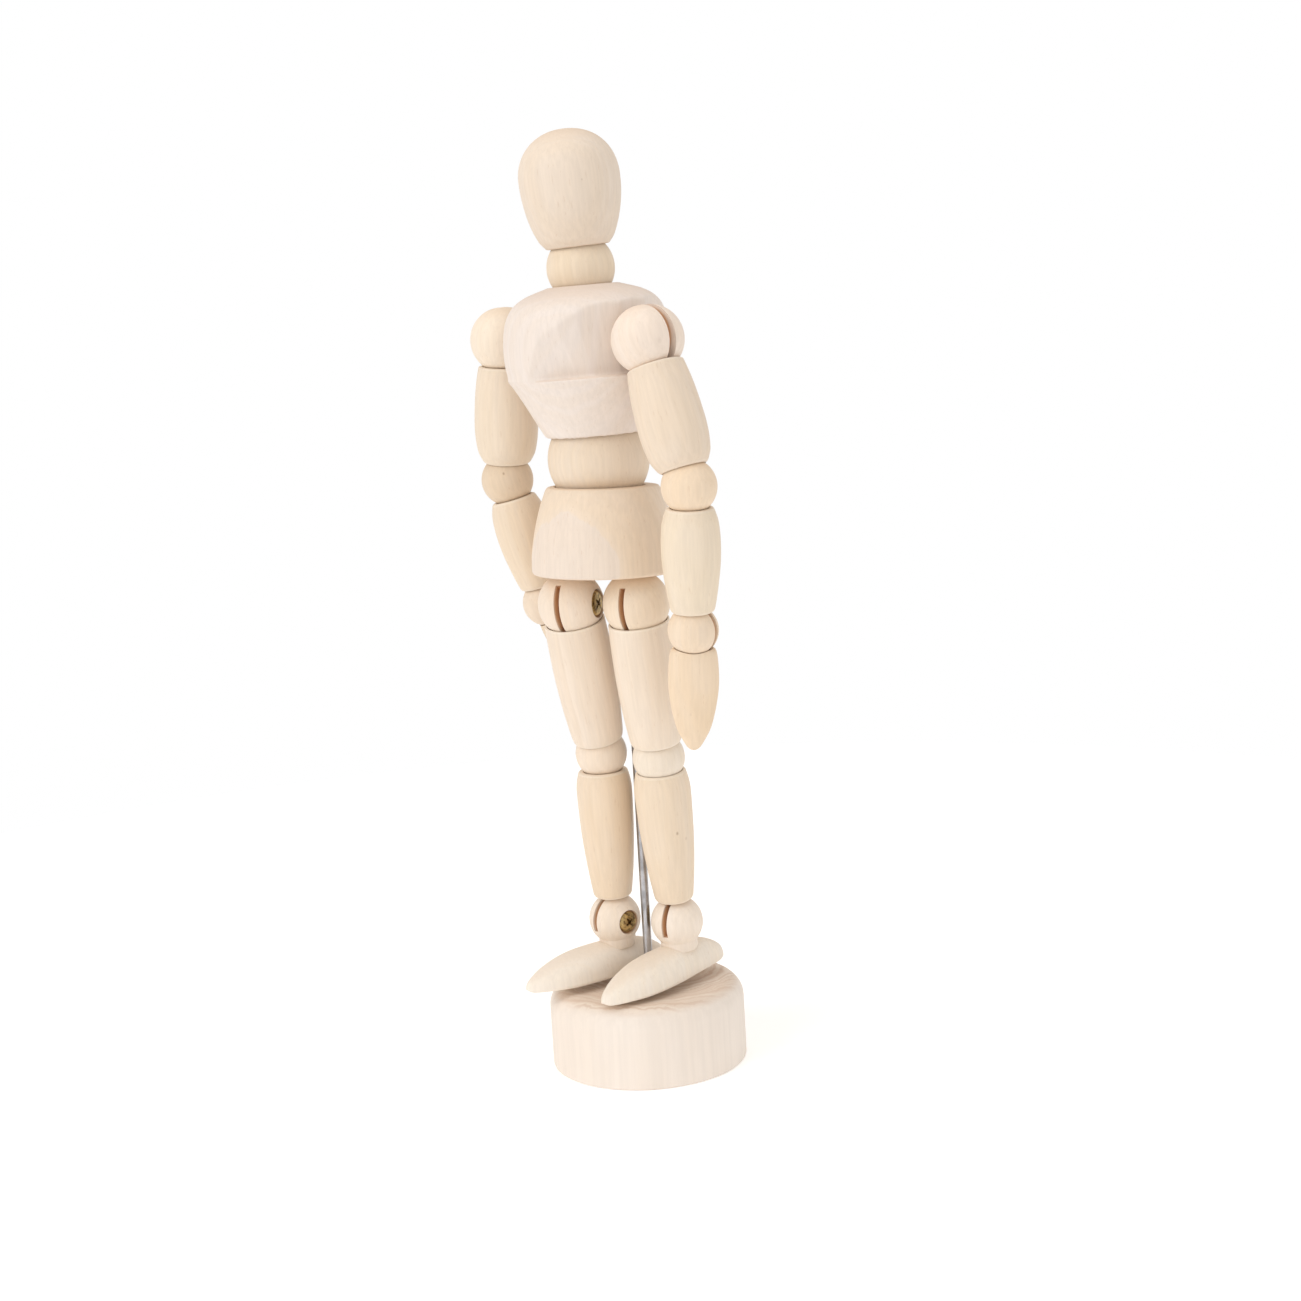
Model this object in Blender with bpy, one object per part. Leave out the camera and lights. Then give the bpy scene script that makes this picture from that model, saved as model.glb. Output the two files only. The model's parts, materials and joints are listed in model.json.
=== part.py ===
"""A small jointed wooden artist's figure held up by a steel rod in a round base.

Every piece is its own object. Limbs, balls and links are built in the frame of the joint that carries
them: origin at the joint's centre, +X along its pin, and -Z along the limb that turns on the pin.
Dimensions are in millimetres and are scaled to metres as the meshes are made. World +Z is up, the
figure's chest faces -Y, its left side is +X, and the origin is under the middle of the base.
"""
import math

import bmesh
import bpy
from mathutils import Matrix, Vector

MM = 0.001

# Stand
BASE_RADIUS = 14.5
BASE_HEIGHT = 11.9
BASE_EDGE = 2.6
ROD_RADIUS = 0.65
ROD_BOTTOM = 4.0
ROD_TOP = 80.5
ROD_GAP = 0.25

# Joint centres of the figure at rest
PELVIS_FOOT = Vector((2.1, -6.1, 73.8))
WAIST = Vector((2.15, -6.05, 89.9))
NECK = Vector((2.35, -7.5, 116.3))
SHOULDERS = {"right": Vector((-12.45, -9.3, 107.6)), "left": Vector((16.4, -9.5, 106.2))}
ELBOWS = {"right": Vector((-15.2, -8.2, 87.2)), "left": Vector((21.7, -8.5, 86.1))}
WRISTS = {"right": Vector((-12.9, -4.2, 68.7)), "left": Vector((19.6, -7.0, 66.5))}
HAND_WAYS = {"right": Vector((1.5, 6.5, -15.3)), "left": Vector((-1.6, 0.5, -16.5))}
WRIST_PINS = {"right": Vector((1.0, -1.0, 0.0)), "left": Vector((0.31, -0.95, 0.0))}
HAND_TWIST = {"right": 0.0, "left": -63.0}
HIPS = {"right": Vector((-2.2, -9.1, 69.5)), "left": Vector((7.5, -5.6, 69.5))}
KNEES = {"right": Vector((-4.35, -2.95, 46.5)), "left": Vector((5.85, -1.25, 46.5))}
ANKLES = {"right": Vector((-4.8, -1.8, 21.0)), "left": Vector((4.8, 1.65, 21.2))}
HIP_PIN_TURN = {"right": 21.0, "left": 18.0}
KNEE_PIN_TURN = {"right": 20.0, "left": 0.0}
ANKLE_PIN_TURN = {"right": -6.0, "left": 14.0}
FOOT_TURN = {"right": -11.0, "left": -1.0}
FOOT_PITCH = {"right": 4.0, "left": 4.0}

# Axes of the trunk: the pelvis tips to its left, chest and head lean forward
PELVIS_UP = Vector((0.032, 0.01, 1.0)).normalized()
CHEST_UP = Vector((0.01, -0.054, 1.0)).normalized()
HEAD_UP = Vector((0.0, -0.094, 1.0)).normalized()

# Balls and their seats
WAIST_BALL = 7.2
NECK_BALL = 4.75
SHOULDER_BALL = 5.1
ELBOW_BALL = 3.8
WRIST_BALL = 3.5
HIP_BALL = 4.75
KNEE_BALL = 3.8
ANKLE_BALL = 3.85
SEAT_GAP = 0.25
PEG_RADIUS = 1.15
PEG_LENGTH = 4.0
FOOT_PEG_LENGTH = 2.4
BORE_RADIUS = 1.45

# Steel links, pins and screws
LINK_HALF_WIDTH = 1.1
LINK_THICKNESS = 0.5
LINK_SHANK = 4.5
SLOT_WIDTH = 0.9
SLOT_GAP = 0.2
PIN_RADIUS = 0.45
SCREW_SHANK = 0.55
PIN_GAP = 0.15
PIN_STOP = 1.2
HIP_SCREW_HEAD = 1.95
ANKLE_SCREW_HEAD = 1.75
SCREW_HEAD_THICKNESS = 0.8

# How far each ball's slot lets its link turn from rest, in degrees
SHOULDER_SLOT = (-4, 95)
ELBOW_SLOTS = {"right": (-72, 10), "left": (-22, 14)}
WRIST_SLOT = (-35, 35)
HIP_SLOT = (-8, 97)
KNEE_SLOT = (-4, 70)
ANKLE_SLOT = (-88, 8)

# Trunk
PELVIS_HEIGHT = 12.3
CHEST_BELOW_RIM = 3.5
CHEST_HEIGHT = 20.6
RIDGE_HEIGHT = 8.3
FACET_TURNS = (58.0, 112.0)
FACET_DISTANCE = 9.6
FACET_UNDERCUT = 0.1
HEAD_BELOW_RIM = 2.9
SPRING_FLARE = 0.22

# Sides of the turned pieces
BALL_SIDES = 14
LIMB_SIDES = 14
TRUNK_SIDES = 20
SMOOTH_ANGLE = math.radians(40)


def material(name, colour, roughness, metallic=0.0):
    made = bpy.data.materials.new(name)
    made.use_nodes = True
    shader = made.node_tree.nodes["Principled BSDF"]
    shader.inputs["Base Color"].default_value = (*colour, 1.0)
    shader.inputs["Roughness"].default_value = roughness
    shader.inputs["Metallic"].default_value = metallic
    return made


def wood(name, shade=1.0):
    return material(name, (0.83 * shade, 0.68 * shade, 0.50 * shade), 0.55)


def steel(name):
    return material(name, (0.55, 0.55, 0.57), 0.3, 1.0)


def brass(name):
    return material(name, (0.42, 0.30, 0.15), 0.4, 1.0)


def frame(origin, up, across):
    """A frame in millimetres: +Z along up, +X along across made square to it."""
    z = up.normalized()
    x = (across - across.dot(z) * z).normalized()
    y = z.cross(x)
    turned_frame = Matrix((x, y, z)).transposed().to_4x4()
    return Matrix.Translation(origin) @ turned_frame


def body_frame(matrix):
    """The same frame with its place in metres, for an object's matrix_world."""
    placed = matrix.copy()
    placed.translation = matrix.translation * MM
    return placed


def finished(bm, name, where, look):
    bmesh.ops.recalc_face_normals(bm, faces=bm.faces)
    mesh = bpy.data.meshes.new(name)
    bm.to_mesh(mesh)
    bm.free()
    mesh.shade_smooth()
    mesh.set_sharp_from_angle(angle=SMOOTH_ANGLE)
    made = bpy.data.objects.new(name, mesh)
    bpy.context.scene.collection.objects.link(made)
    made.matrix_world = body_frame(where)
    if look:
        made.data.materials.append(look)
    return made


def turned(profile, sides, turn=None):
    """A solid of revolution about Z from (radius, height) points that start and end on the axis."""
    bm = bmesh.new()
    chain = [bm.verts.new((r * MM, 0.0, z * MM)) for r, z in profile]
    links = [bm.edges.new(pair) for pair in zip(chain, chain[1:])]
    bmesh.ops.spin(
        bm,
        geom=chain + links,
        axis=(0, 0, 1),
        cent=(0, 0, 0),
        angle=2 * math.pi,
        steps=sides,
        use_merge=True,
    )
    bmesh.ops.remove_doubles(bm, verts=bm.verts, dist=1e-6)
    if turn:
        bmesh.ops.transform(bm, matrix=turn, verts=bm.verts)
    return bm


def arc(radius, centre, start, end, steps):
    """(radius, height) points on a circle about (0, centre): angles in degrees up from -Z."""
    points = []
    for i in range(steps + 1):
        t = math.radians(start + (end - start) * i / steps)
        points.append((radius * math.sin(t), centre - radius * math.cos(t)))
    return points


def prism(outline, half_width):
    """A (y, z) outline made into a plate of the given half width along X."""
    bm = bmesh.new()
    near = [bm.verts.new((-half_width * MM, y * MM, z * MM)) for y, z in outline]
    face = bm.faces.new(near)
    moved = bmesh.ops.extrude_face_region(bm, geom=[face])["geom"]
    verts = [v for v in moved if isinstance(v, bmesh.types.BMVert)]
    bmesh.ops.translate(bm, verts=verts, vec=(2 * half_width * MM, 0, 0))
    return bm


def cutter(bm, name, where, target):
    """A hidden tool that is cut out of target."""
    tool = finished(bm, name, where, None)
    tool.hide_render = True
    tool.display_type = "WIRE"
    cut = target.modifiers.new(name, "BOOLEAN")
    cut.operation = "DIFFERENCE"
    cut.object = tool
    return tool


ALONG_X = Matrix.Rotation(math.pi / 2, 4, "Y")


def rod_bm(radius, low, high, sides, turn=None):
    return turned([(0, low), (radius, low), (radius, high), (0, high)], sides, turn)


def way(angle):
    """The (y, z) direction that is the given degrees round from -Z towards +Y."""
    t = math.radians(angle)
    return Vector((math.sin(t), -math.cos(t)))


def swept_slot(ball, limits):
    """Outline of the room that a link takes up as it turns between two angles."""
    half = LINK_HALF_WIDTH + SLOT_GAP
    low, high = limits
    reach = ball + 1.0
    points = [way(low) * reach + way(low - 90) * half]
    steps = max(1, round((high - low) / 20))
    if high - low > 30:
        for i in range(steps + 1):
            points.append(way(low + (high - low) * i / steps) * (reach + 0.4))
    points.append(way(high) * reach + way(high + 90) * half)
    for i in range(7):
        angle = high + 90 + (180 - (high - low)) * i / 6
        points.append(way(angle) * half)
    return points


def ball_piece(name, radius, where, peg_way, limits, entry, hole=PIN_RADIUS, peg=PEG_LENGTH):
    """A wooden ball with a peg, a slot for the link and a blind cross hole, in its pin's frame.

    entry is +1 or -1: the end of the X axis where the cross hole opens.
    """
    neck = math.degrees(math.asin(PEG_RADIUS / radius))
    profile = arc(radius, 0, 0, 180 - neck, 7)
    profile += [(PEG_RADIUS, radius + peg), (0, radius + peg)]
    local = where.to_3x3().inverted() @ peg_way
    turn = Vector((0, 0, 1)).rotation_difference(local).to_matrix().to_4x4()
    made = finished(turned(profile, BALL_SIDES, turn), name, where, wood(name))
    cutter(prism(swept_slot(radius, limits), SLOT_WIDTH / 2), name + "_slot", where, made)
    along = Matrix.Rotation(entry * math.pi / 2, 4, "Y")
    cross = rod_bm(hole + PIN_GAP, PIN_STOP - radius - 0.2, radius + 1, 10, along)
    cutter(cross, name + "_hole", where, made)
    return made


def link_piece(name, ball, where):
    """A flat steel link: round eye on the pin, straight shank down into the limb."""
    half = LINK_HALF_WIDTH
    low = -(ball + LINK_SHANK)
    outline = [(-half, low), (half, low)]
    for i in range(7):
        t = math.pi * i / 6
        outline.append((half * math.cos(t), half * math.sin(t)))
    made = finished(prism(outline, LINK_THICKNESS / 2), name, where, steel(name))
    eye = rod_bm(SCREW_SHANK + PIN_GAP, -1, 1, 10, ALONG_X)
    cutter(eye, name + "_eye", where, made)
    return made


def pin_piece(name, ball, where, entry):
    along = Matrix.Rotation(entry * math.pi / 2, 4, "Y")
    bm = rod_bm(PIN_RADIUS, PIN_STOP - ball, ball - 0.2, 10, along)
    return finished(bm, name, where, steel(name))


def screw_piece(name, ball, head, where, ball_object, inner):
    """A cross screw, its head sunk in the side of the ball that inner (+1 or -1 on X) names."""
    face = math.sqrt(ball**2 - (head + 0.2) ** 2) - 0.05
    under = face - SCREW_HEAD_THICKNESS
    tail = PIN_STOP - ball
    profile = [(0, tail), (SCREW_SHANK, tail), (SCREW_SHANK, under), (head, under)]
    profile += [(head, face), (0, face)]
    turn = Matrix.Rotation(inner * math.pi / 2, 4, "Y")
    made = finished(turned(profile, 12, turn), name, where, brass(name))
    recess = rod_bm(head + 0.2, under - 0.15, ball + 1, 12, turn)
    cutter(recess, name + "_recess", where, ball_object)
    return made


def limb_piece(name, where, length, outer, upper, lower):
    """A turned limb between two balls.

    upper and lower are (ball radius, distance of the limb's rim from that ball's centre, bore depth
    past the ball). outer is the outline from the upper rim to the lower rim, as (radius, fraction).
    """
    ball_a, rim_a, bore_a = upper
    ball_b, rim_b, bore_b = lower
    span = length - rim_a - rim_b
    outline = [(r, -rim_a - span * s) for r, s in outer]
    seat_a = ball_a + SEAT_GAP
    seat_b = ball_b + SEAT_GAP
    profile = [(0, -(ball_a + bore_a)), (BORE_RADIUS, -(ball_a + bore_a))]
    inner_a = math.degrees(math.asin(BORE_RADIUS / seat_a))
    mouth_a = math.degrees(math.acos(rim_a / seat_a))
    profile += arc(seat_a, 0, inner_a, mouth_a, 3)
    profile += outline
    inner_b = 180 - math.degrees(math.asin(BORE_RADIUS / seat_b))
    mouth_b = 180 - math.degrees(math.acos(rim_b / seat_b))
    profile += arc(seat_b, -length, mouth_b, inner_b, 3)
    profile += [(BORE_RADIUS, -length + ball_b + bore_b), (0, -length + ball_b + bore_b)]
    return finished(turned(profile, LIMB_SIDES), name, where, wood(name))


def lofted(sections):
    """A closed skin through rings of equal point counts."""
    bm = bmesh.new()
    rings = [[bm.verts.new(Vector(p) * MM) for p in ring] for ring in sections]
    for one, two in zip(rings, rings[1:]):
        for i in range(len(one)):
            j = (i + 1) % len(one)
            bm.faces.new((one[i], one[j], two[j], two[i]))
    bm.faces.new(rings[0])
    bm.faces.new(rings[-1])
    bmesh.ops.triangulate(bm, faces=[f for f in bm.faces if len(f.verts) > 4])
    return bm


def empty(name, where, parent=None):
    """The carrier of a moving body, at its joint."""
    made = bpy.data.objects.new(name, None)
    made.empty_display_size = 2 * MM
    bpy.context.scene.collection.objects.link(made)
    made.matrix_world = body_frame(where)
    carry(made, parent)
    return made


def carry(piece, carrier):
    if carrier is None:
        return
    bpy.context.view_layer.update()
    here = piece.matrix_world.copy()
    piece.parent = carrier
    piece.matrix_parent_inverse = carrier.matrix_world.inverted()
    piece.matrix_world = here


def build_stand():
    edge = arc_corner(BASE_RADIUS, BASE_HEIGHT, BASE_EDGE, 4)
    hole = ROD_RADIUS + ROD_GAP
    profile = [(0, 0), (BASE_RADIUS - 0.3, 0), (BASE_RADIUS, 0.3), *edge]
    profile += [(hole, BASE_HEIGHT), (hole, ROD_BOTTOM - 0.3), (0, ROD_BOTTOM - 0.3)]
    upright = Matrix.Identity(4)
    base = finished(turned(profile, 32), "base", upright, wood("base", 1.04))
    rod = rod_bm(ROD_RADIUS, ROD_BOTTOM, ROD_TOP, 12)
    return [base, finished(rod, "support_rod", upright, steel("support_rod"))]


def arc_corner(radius, height, round_over, steps):
    """Profile points round an upper outer edge, from the side to the top."""
    points = []
    for i in range(steps + 1):
        t = math.pi / 2 * i / steps
        across = radius - round_over * (1 - math.cos(t))
        points.append((across, height - round_over * (1 - math.sin(t))))
    return points


def build_pelvis():
    where = frame(PELVIS_FOOT, PELVIS_UP, HIPS["left"] - HIPS["right"])
    profile = [(0, 0), (9.9, 0), (10.4, 0.5), (10.3, 3.0), (9.8, 6.0), (9.1, 9.0), (8.3, 11.4)]
    profile += [(7.9, 12.1), (7.4, PELVIS_HEIGHT), (0, PELVIS_HEIGHT)]
    pelvis = finished(turned(profile, TRUNK_SIDES), "pelvis", where, wood("pelvis"))
    waist_frame = frame(WAIST, PELVIS_UP, HIPS["left"] - HIPS["right"])
    seat = turned(arc(WAIST_BALL + 0.35, 0, 0, 180, 10), TRUNK_SIDES)
    cutter(seat, "pelvis_waist_seat", waist_frame, pelvis)
    cutter(rod_bm(3.1, -8.9, 0, BALL_SIDES), "pelvis_waist_bore", waist_frame, pelvis)
    for side, hip in HIPS.items():
        hip_frame = frame(hip, PELVIS_UP, Vector((1, 0, 0)))
        seat = turned(arc(HIP_BALL + SEAT_GAP, 0, 0, 180, 8), BALL_SIDES)
        cutter(seat, "pelvis_seat_" + side, hip_frame, pelvis)
        top = HIP_BALL + PEG_LENGTH + 0.4
        cutter(rod_bm(BORE_RADIUS, 0, top, 12), "pelvis_bore_" + side, hip_frame, pelvis)
    hole = rod_bm(ROD_RADIUS + ROD_GAP, ROD_TOP - 12, ROD_TOP + 0.4, 12)
    cutter(hole, "pelvis_rod_hole", Matrix.Identity(4), pelvis)
    return where, pelvis


def flared_ball(name, radius, where, bore, throat, sides):
    """A ball with an hourglass bore from top to bottom for its spring."""
    inner = math.degrees(math.asin(bore / radius))
    profile = arc(radius, 0, inner, 180 - inner, 8)
    bm = bmesh.new()
    chain = [bm.verts.new((r * MM, 0.0, z * MM)) for r, z in profile + [(throat, 0)]]
    loop = [bm.edges.new((a, b)) for a, b in zip(chain, chain[1:] + chain[:1])]
    bmesh.ops.spin(
        bm,
        geom=chain + loop,
        axis=(0, 0, 1),
        cent=(0, 0, 0),
        angle=2 * math.pi,
        steps=sides,
        use_merge=True,
    )
    bmesh.ops.remove_doubles(bm, verts=bm.verts, dist=1e-6)
    return finished(bm, name, where, wood(name))


def spring_piece(name, radius, half_length, coils, where):
    """A closely wound tension spring, as a ribbed rod with one rib for each coil shown."""
    pitch = 2 * half_length / coils
    profile = [(0, -half_length)]
    for i in range(coils):
        low = -half_length + pitch * i
        profile += [(radius * 0.75, low), (radius, low + pitch / 2)]
    profile += [(radius * 0.75, half_length), (0, half_length)]
    return finished(turned(profile, 10), name, where, steel(name))


def chest_outline():
    """(radius, height) of the chest's side from its lower rim to the neck."""
    cone = [(6.9, 0.0), (7.25, 0.35), (9.2, 4.1), (10.7, 6.8), (11.5, RIDGE_HEIGHT)]
    side = [(11.75, 9.4), (11.85, 11.5), (11.75, 13.5), (11.3, 16.0), (10.5, 17.7)]
    shoulder = [(9.5, 18.7), (8.1, 19.5), (6.5, 20.1), (5.0, CHEST_HEIGHT)]
    return cone + side + shoulder


def build_chest():
    rim = WAIST + CHEST_UP * CHEST_BELOW_RIM
    where = frame(rim, CHEST_UP, Vector((1, 0, 0)))
    seat = WAIST_BALL + 0.4
    waist_bore = 3.2
    low_in = 180 - math.degrees(math.asin(waist_bore / seat))
    low_mouth = 180 - math.degrees(math.acos(CHEST_BELOW_RIM / seat))
    top_of_bore = -CHEST_BELOW_RIM + 9.0
    profile = [(0, top_of_bore), (waist_bore, top_of_bore)]
    profile += reversed(arc(seat, -CHEST_BELOW_RIM, low_mouth, low_in, 4))
    profile += chest_outline()
    neck_height = (NECK - rim).dot(CHEST_UP)
    neck_seat = NECK_BALL + 0.3
    neck_bore = 2.3
    mouth = math.degrees(math.acos((neck_height - CHEST_HEIGHT) / neck_seat))
    inner = math.degrees(math.asin(neck_bore / neck_seat))
    profile += arc(neck_seat, neck_height, mouth, inner, 3)
    floor = neck_height - 6.6
    profile += [(neck_bore, floor), (0, floor)]
    chest = finished(turned(profile, TRUNK_SIDES), "chest", where, wood("chest", 1.02))
    for side, sign in (("right", -1), ("left", 1)):
        cut_facets(chest, where, side, sign)
        pocket_frame = frame(SHOULDERS[side], CHEST_UP, Vector((1, 0, 0)))
        pocket = turned(arc(SHOULDER_BALL + SEAT_GAP, 0, 0, 180, 8), BALL_SIDES)
        cutter(pocket, "chest_pocket_" + side, pocket_frame, chest)
        turn = Matrix.Rotation(-sign * math.pi / 2, 4, "Y")
        peg_hole = rod_bm(BORE_RADIUS, 0, SHOULDER_BALL + PEG_LENGTH + 0.4, 12, turn)
        cutter(peg_hole, "chest_peg_hole_" + side, pocket_frame, chest)
    return where, chest


def cut_facets(chest, where, side, sign):
    """Flats on the front and back quarters of one side, ending below in a ledge at the ridge."""
    depth, half_width, top = 6.0, 14.0, CHEST_HEIGHT + 2
    lean = FACET_UNDERCUT
    low = FACET_DISTANCE + lean * (RIDGE_HEIGHT - 13)
    high = FACET_DISTANCE + lean * (top - 13)
    outline = [(-low, RIDGE_HEIGHT), (-low - depth, RIDGE_HEIGHT)]
    outline += [(-high - depth, top), (-high, top)]
    for i, degrees in enumerate(FACET_TURNS):
        turn = Matrix.Rotation(sign * math.radians(degrees), 4, "Z")
        cutter(prism(outline, half_width), f"chest_facet_{side}_{i}", where @ turn, chest)


def build_head():
    where = frame(NECK, HEAD_UP, Vector((1, 0, 0)))
    seat = NECK_BALL + 0.3
    bore = 2.3
    inner = 180 - math.degrees(math.asin(bore / seat))
    mouth = 180 - math.degrees(math.acos(HEAD_BELOW_RIM / seat))
    widest, top, jaw = HEAD_BELOW_RIM + 9.4, 7.1, 12.3
    profile = [(0, 6.6), (bore, 6.6)]
    profile += reversed(arc(seat, 0, mouth, inner, 3))
    profile += [(4.25, HEAD_BELOW_RIM)]
    for height in (HEAD_BELOW_RIM + 0.35, HEAD_BELOW_RIM + 1.6, 6.5, 8.5, 10.5, widest):
        profile.append((7.0 * math.sqrt(1 - ((widest - height) / jaw) ** 2), height))
    for i in range(1, 7):
        t = math.pi / 2 * i / 6
        profile.append((7.0 * math.cos(t) ** 0.93, widest + top * math.sin(t) ** 0.93))
    profile[-1] = (0, widest + top)
    return finished(turned(profile, TRUNK_SIDES), "head", where, wood("head"))


def build_trunk(turn_table):
    pelvis_frame, pelvis = build_pelvis()
    carry(pelvis, turn_table)
    upright = frame(WAIST, CHEST_UP, Vector((1, 0, 0)))
    lean = empty("waist_lean", upright, turn_table)
    carry(spring_piece("waist_spring", 1.0, 8.4, 8, upright), lean)
    bend = empty("waist_bend", upright, lean)
    carry(flared_ball("waist_ball", WAIST_BALL, upright, 2.9, 1.4, TRUNK_SIDES), bend)
    turn = empty("waist_turn", upright, bend)
    chest_frame, chest = build_chest()
    carry(chest, turn)
    neck_frame = frame(NECK, HEAD_UP, Vector((1, 0, 0)))
    neck_lean = empty("neck_lean", neck_frame, turn)
    carry(spring_piece("neck_spring", 0.75, 6.1, 6, neck_frame), neck_lean)
    neck_bend = empty("neck_bend", neck_frame, neck_lean)
    carry(flared_ball("neck_ball", NECK_BALL, neck_frame, 2.1, 1.1, BALL_SIDES), neck_bend)
    neck_turn = empty("neck_turn", neck_frame, neck_bend)
    carry(build_head(), neck_turn)
    return turn


def pin_across(parent_way, child_way):
    """The pin that is square to both limbs, turning the child further the way it is bent."""
    return parent_way.cross(child_way).normalized()


def level_pin(degrees, limb_way):
    """A pin turned from +X about the vertical, then made square to its limb."""
    across = Matrix.Rotation(math.radians(degrees), 3, "Z") @ Vector((1, 0, 0))
    return (across - across.dot(limb_way) * limb_way).normalized()


def back_end(pin):
    """+1 or -1: the end of the pin that points further back."""
    return 1 if pin.y > 0 else -1


def build_arm(side, sign, chest_carrier):
    shoulder, elbow, wrist = SHOULDERS[side], ELBOWS[side], WRISTS[side]
    outward = Vector((1, 0, 0)) - Vector((1, 0, 0)).dot(CHEST_UP) * CHEST_UP
    outward = outward.normalized() * sign
    upper_way = (elbow - shoulder).normalized()
    lower_way = (wrist - elbow).normalized()

    pin = upper_way.cross(outward).normalized()
    swing_frame = frame(shoulder, CHEST_UP, Vector((1, 0, 0)))
    swing = empty(side + "_shoulder_swing", swing_frame, chest_carrier)
    shoulder_frame = frame(shoulder, -upper_way, pin)
    name = side + "_shoulder_ball"
    back = back_end(pin)
    ball = ball_piece(name, SHOULDER_BALL, shoulder_frame, -outward, SHOULDER_SLOT, back)
    carry(ball, swing)
    carry(pin_piece(side + "_shoulder_pin", SHOULDER_BALL, shoulder_frame, back), swing)

    raised = empty(side + "_shoulder_raise", shoulder_frame, swing)
    carry(link_piece(side + "_shoulder_link", SHOULDER_BALL, shoulder_frame), raised)
    outer = [(3.75, 0.0), (4.0, 0.02), (4.5, 0.25), (4.72, 0.5), (4.68, 0.7), (4.3, 0.87)]
    outer += [(3.6, 0.97), (3.3, 1.0)]
    ends = (SHOULDER_BALL, 4.0, LINK_SHANK + 0.4), (ELBOW_BALL, 2.5, PEG_LENGTH + 0.4)
    length = (elbow - shoulder).length
    name = side + "_upper_arm"
    carry(limb_piece(name, shoulder_frame, length, outer, *ends), raised)

    pin = pin_across(upper_way, lower_way)
    elbow_turn = empty(side + "_elbow_turn", frame(elbow, -upper_way, pin), raised)
    elbow_frame = frame(elbow, -lower_way, pin)
    name = side + "_elbow_ball"
    back = back_end(pin)
    ball = ball_piece(name, ELBOW_BALL, elbow_frame, -upper_way, ELBOW_SLOTS[side], back)
    carry(ball, elbow_turn)
    carry(pin_piece(side + "_elbow_pin", ELBOW_BALL, elbow_frame, back), elbow_turn)

    bent = empty(side + "_elbow_bend", elbow_frame, elbow_turn)
    carry(link_piece(side + "_elbow_link", ELBOW_BALL, elbow_frame), bent)
    outer = [(3.15, 0.0), (3.45, 0.02), (3.95, 0.15), (4.15, 0.33), (4.05, 0.55), (3.6, 0.8)]
    outer += [(3.15, 0.97), (2.95, 1.0)]
    ends = (ELBOW_BALL, 2.85, LINK_SHANK + 0.4), (WRIST_BALL, 2.6, PEG_LENGTH + 0.4)
    length = (wrist - elbow).length
    name = side + "_forearm"
    carry(limb_piece(name, elbow_frame, length, outer, *ends), bent)

    hand_way = HAND_WAYS[side].normalized()
    pin = WRIST_PINS[side]
    pin = (pin - pin.dot(hand_way) * hand_way).normalized()
    wrist_turn = empty(side + "_wrist_turn", frame(wrist, -lower_way, pin), bent)
    wrist_frame = frame(wrist, -hand_way, pin)
    name = side + "_wrist_ball"
    back = back_end(pin)
    ball = ball_piece(name, WRIST_BALL, wrist_frame, -lower_way, WRIST_SLOT, back)
    carry(ball, wrist_turn)
    carry(pin_piece(side + "_wrist_pin", WRIST_BALL, wrist_frame, back), wrist_turn)
    wrist_bend = empty(side + "_wrist_bend", wrist_frame, wrist_turn)
    carry(link_piece(side + "_wrist_link", WRIST_BALL, wrist_frame), wrist_bend)
    carry(hand_piece(side + "_hand", wrist_frame, HAND_TWIST[side]), wrist_bend)


def hand_piece(name, where, twist):
    """A flat tapering paddle: stations are (distance below the wrist, half width, half thickness)."""
    stations = [(2.6, 2.9, 2.3), (4.5, 3.35, 2.5), (7.5, 3.5, 2.3), (10.5, 3.2, 1.9)]
    stations += [(13.5, 2.5, 1.45), (15.7, 1.6, 1.0), (16.7, 0.7, 0.5)]
    rings = []
    for down, wide, thick in stations:
        ring = []
        for i in range(14):
            t = 2 * math.pi * i / 14
            ring.append((wide * math.cos(t), thick * math.sin(t), -down))
        rings.append(ring)
    paddle = lofted(rings)
    turn = Matrix.Rotation(math.radians(twist), 4, "Z")
    bmesh.ops.transform(paddle, matrix=turn, verts=paddle.verts)
    made = finished(paddle, name, where, wood(name))
    seat = turned(arc(WRIST_BALL + SEAT_GAP, 0, 0, 180, 8), BALL_SIDES)
    cutter(seat, name + "_seat", where, made)
    low = -(WRIST_BALL + LINK_SHANK + 0.4)
    half = LINK_HALF_WIDTH + SLOT_GAP
    hole = prism([(-half, low), (half, low), (half, 0), (-half, 0)], SLOT_WIDTH / 2)
    cutter(hole, name + "_link_hole", where, made)
    return made


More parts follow.
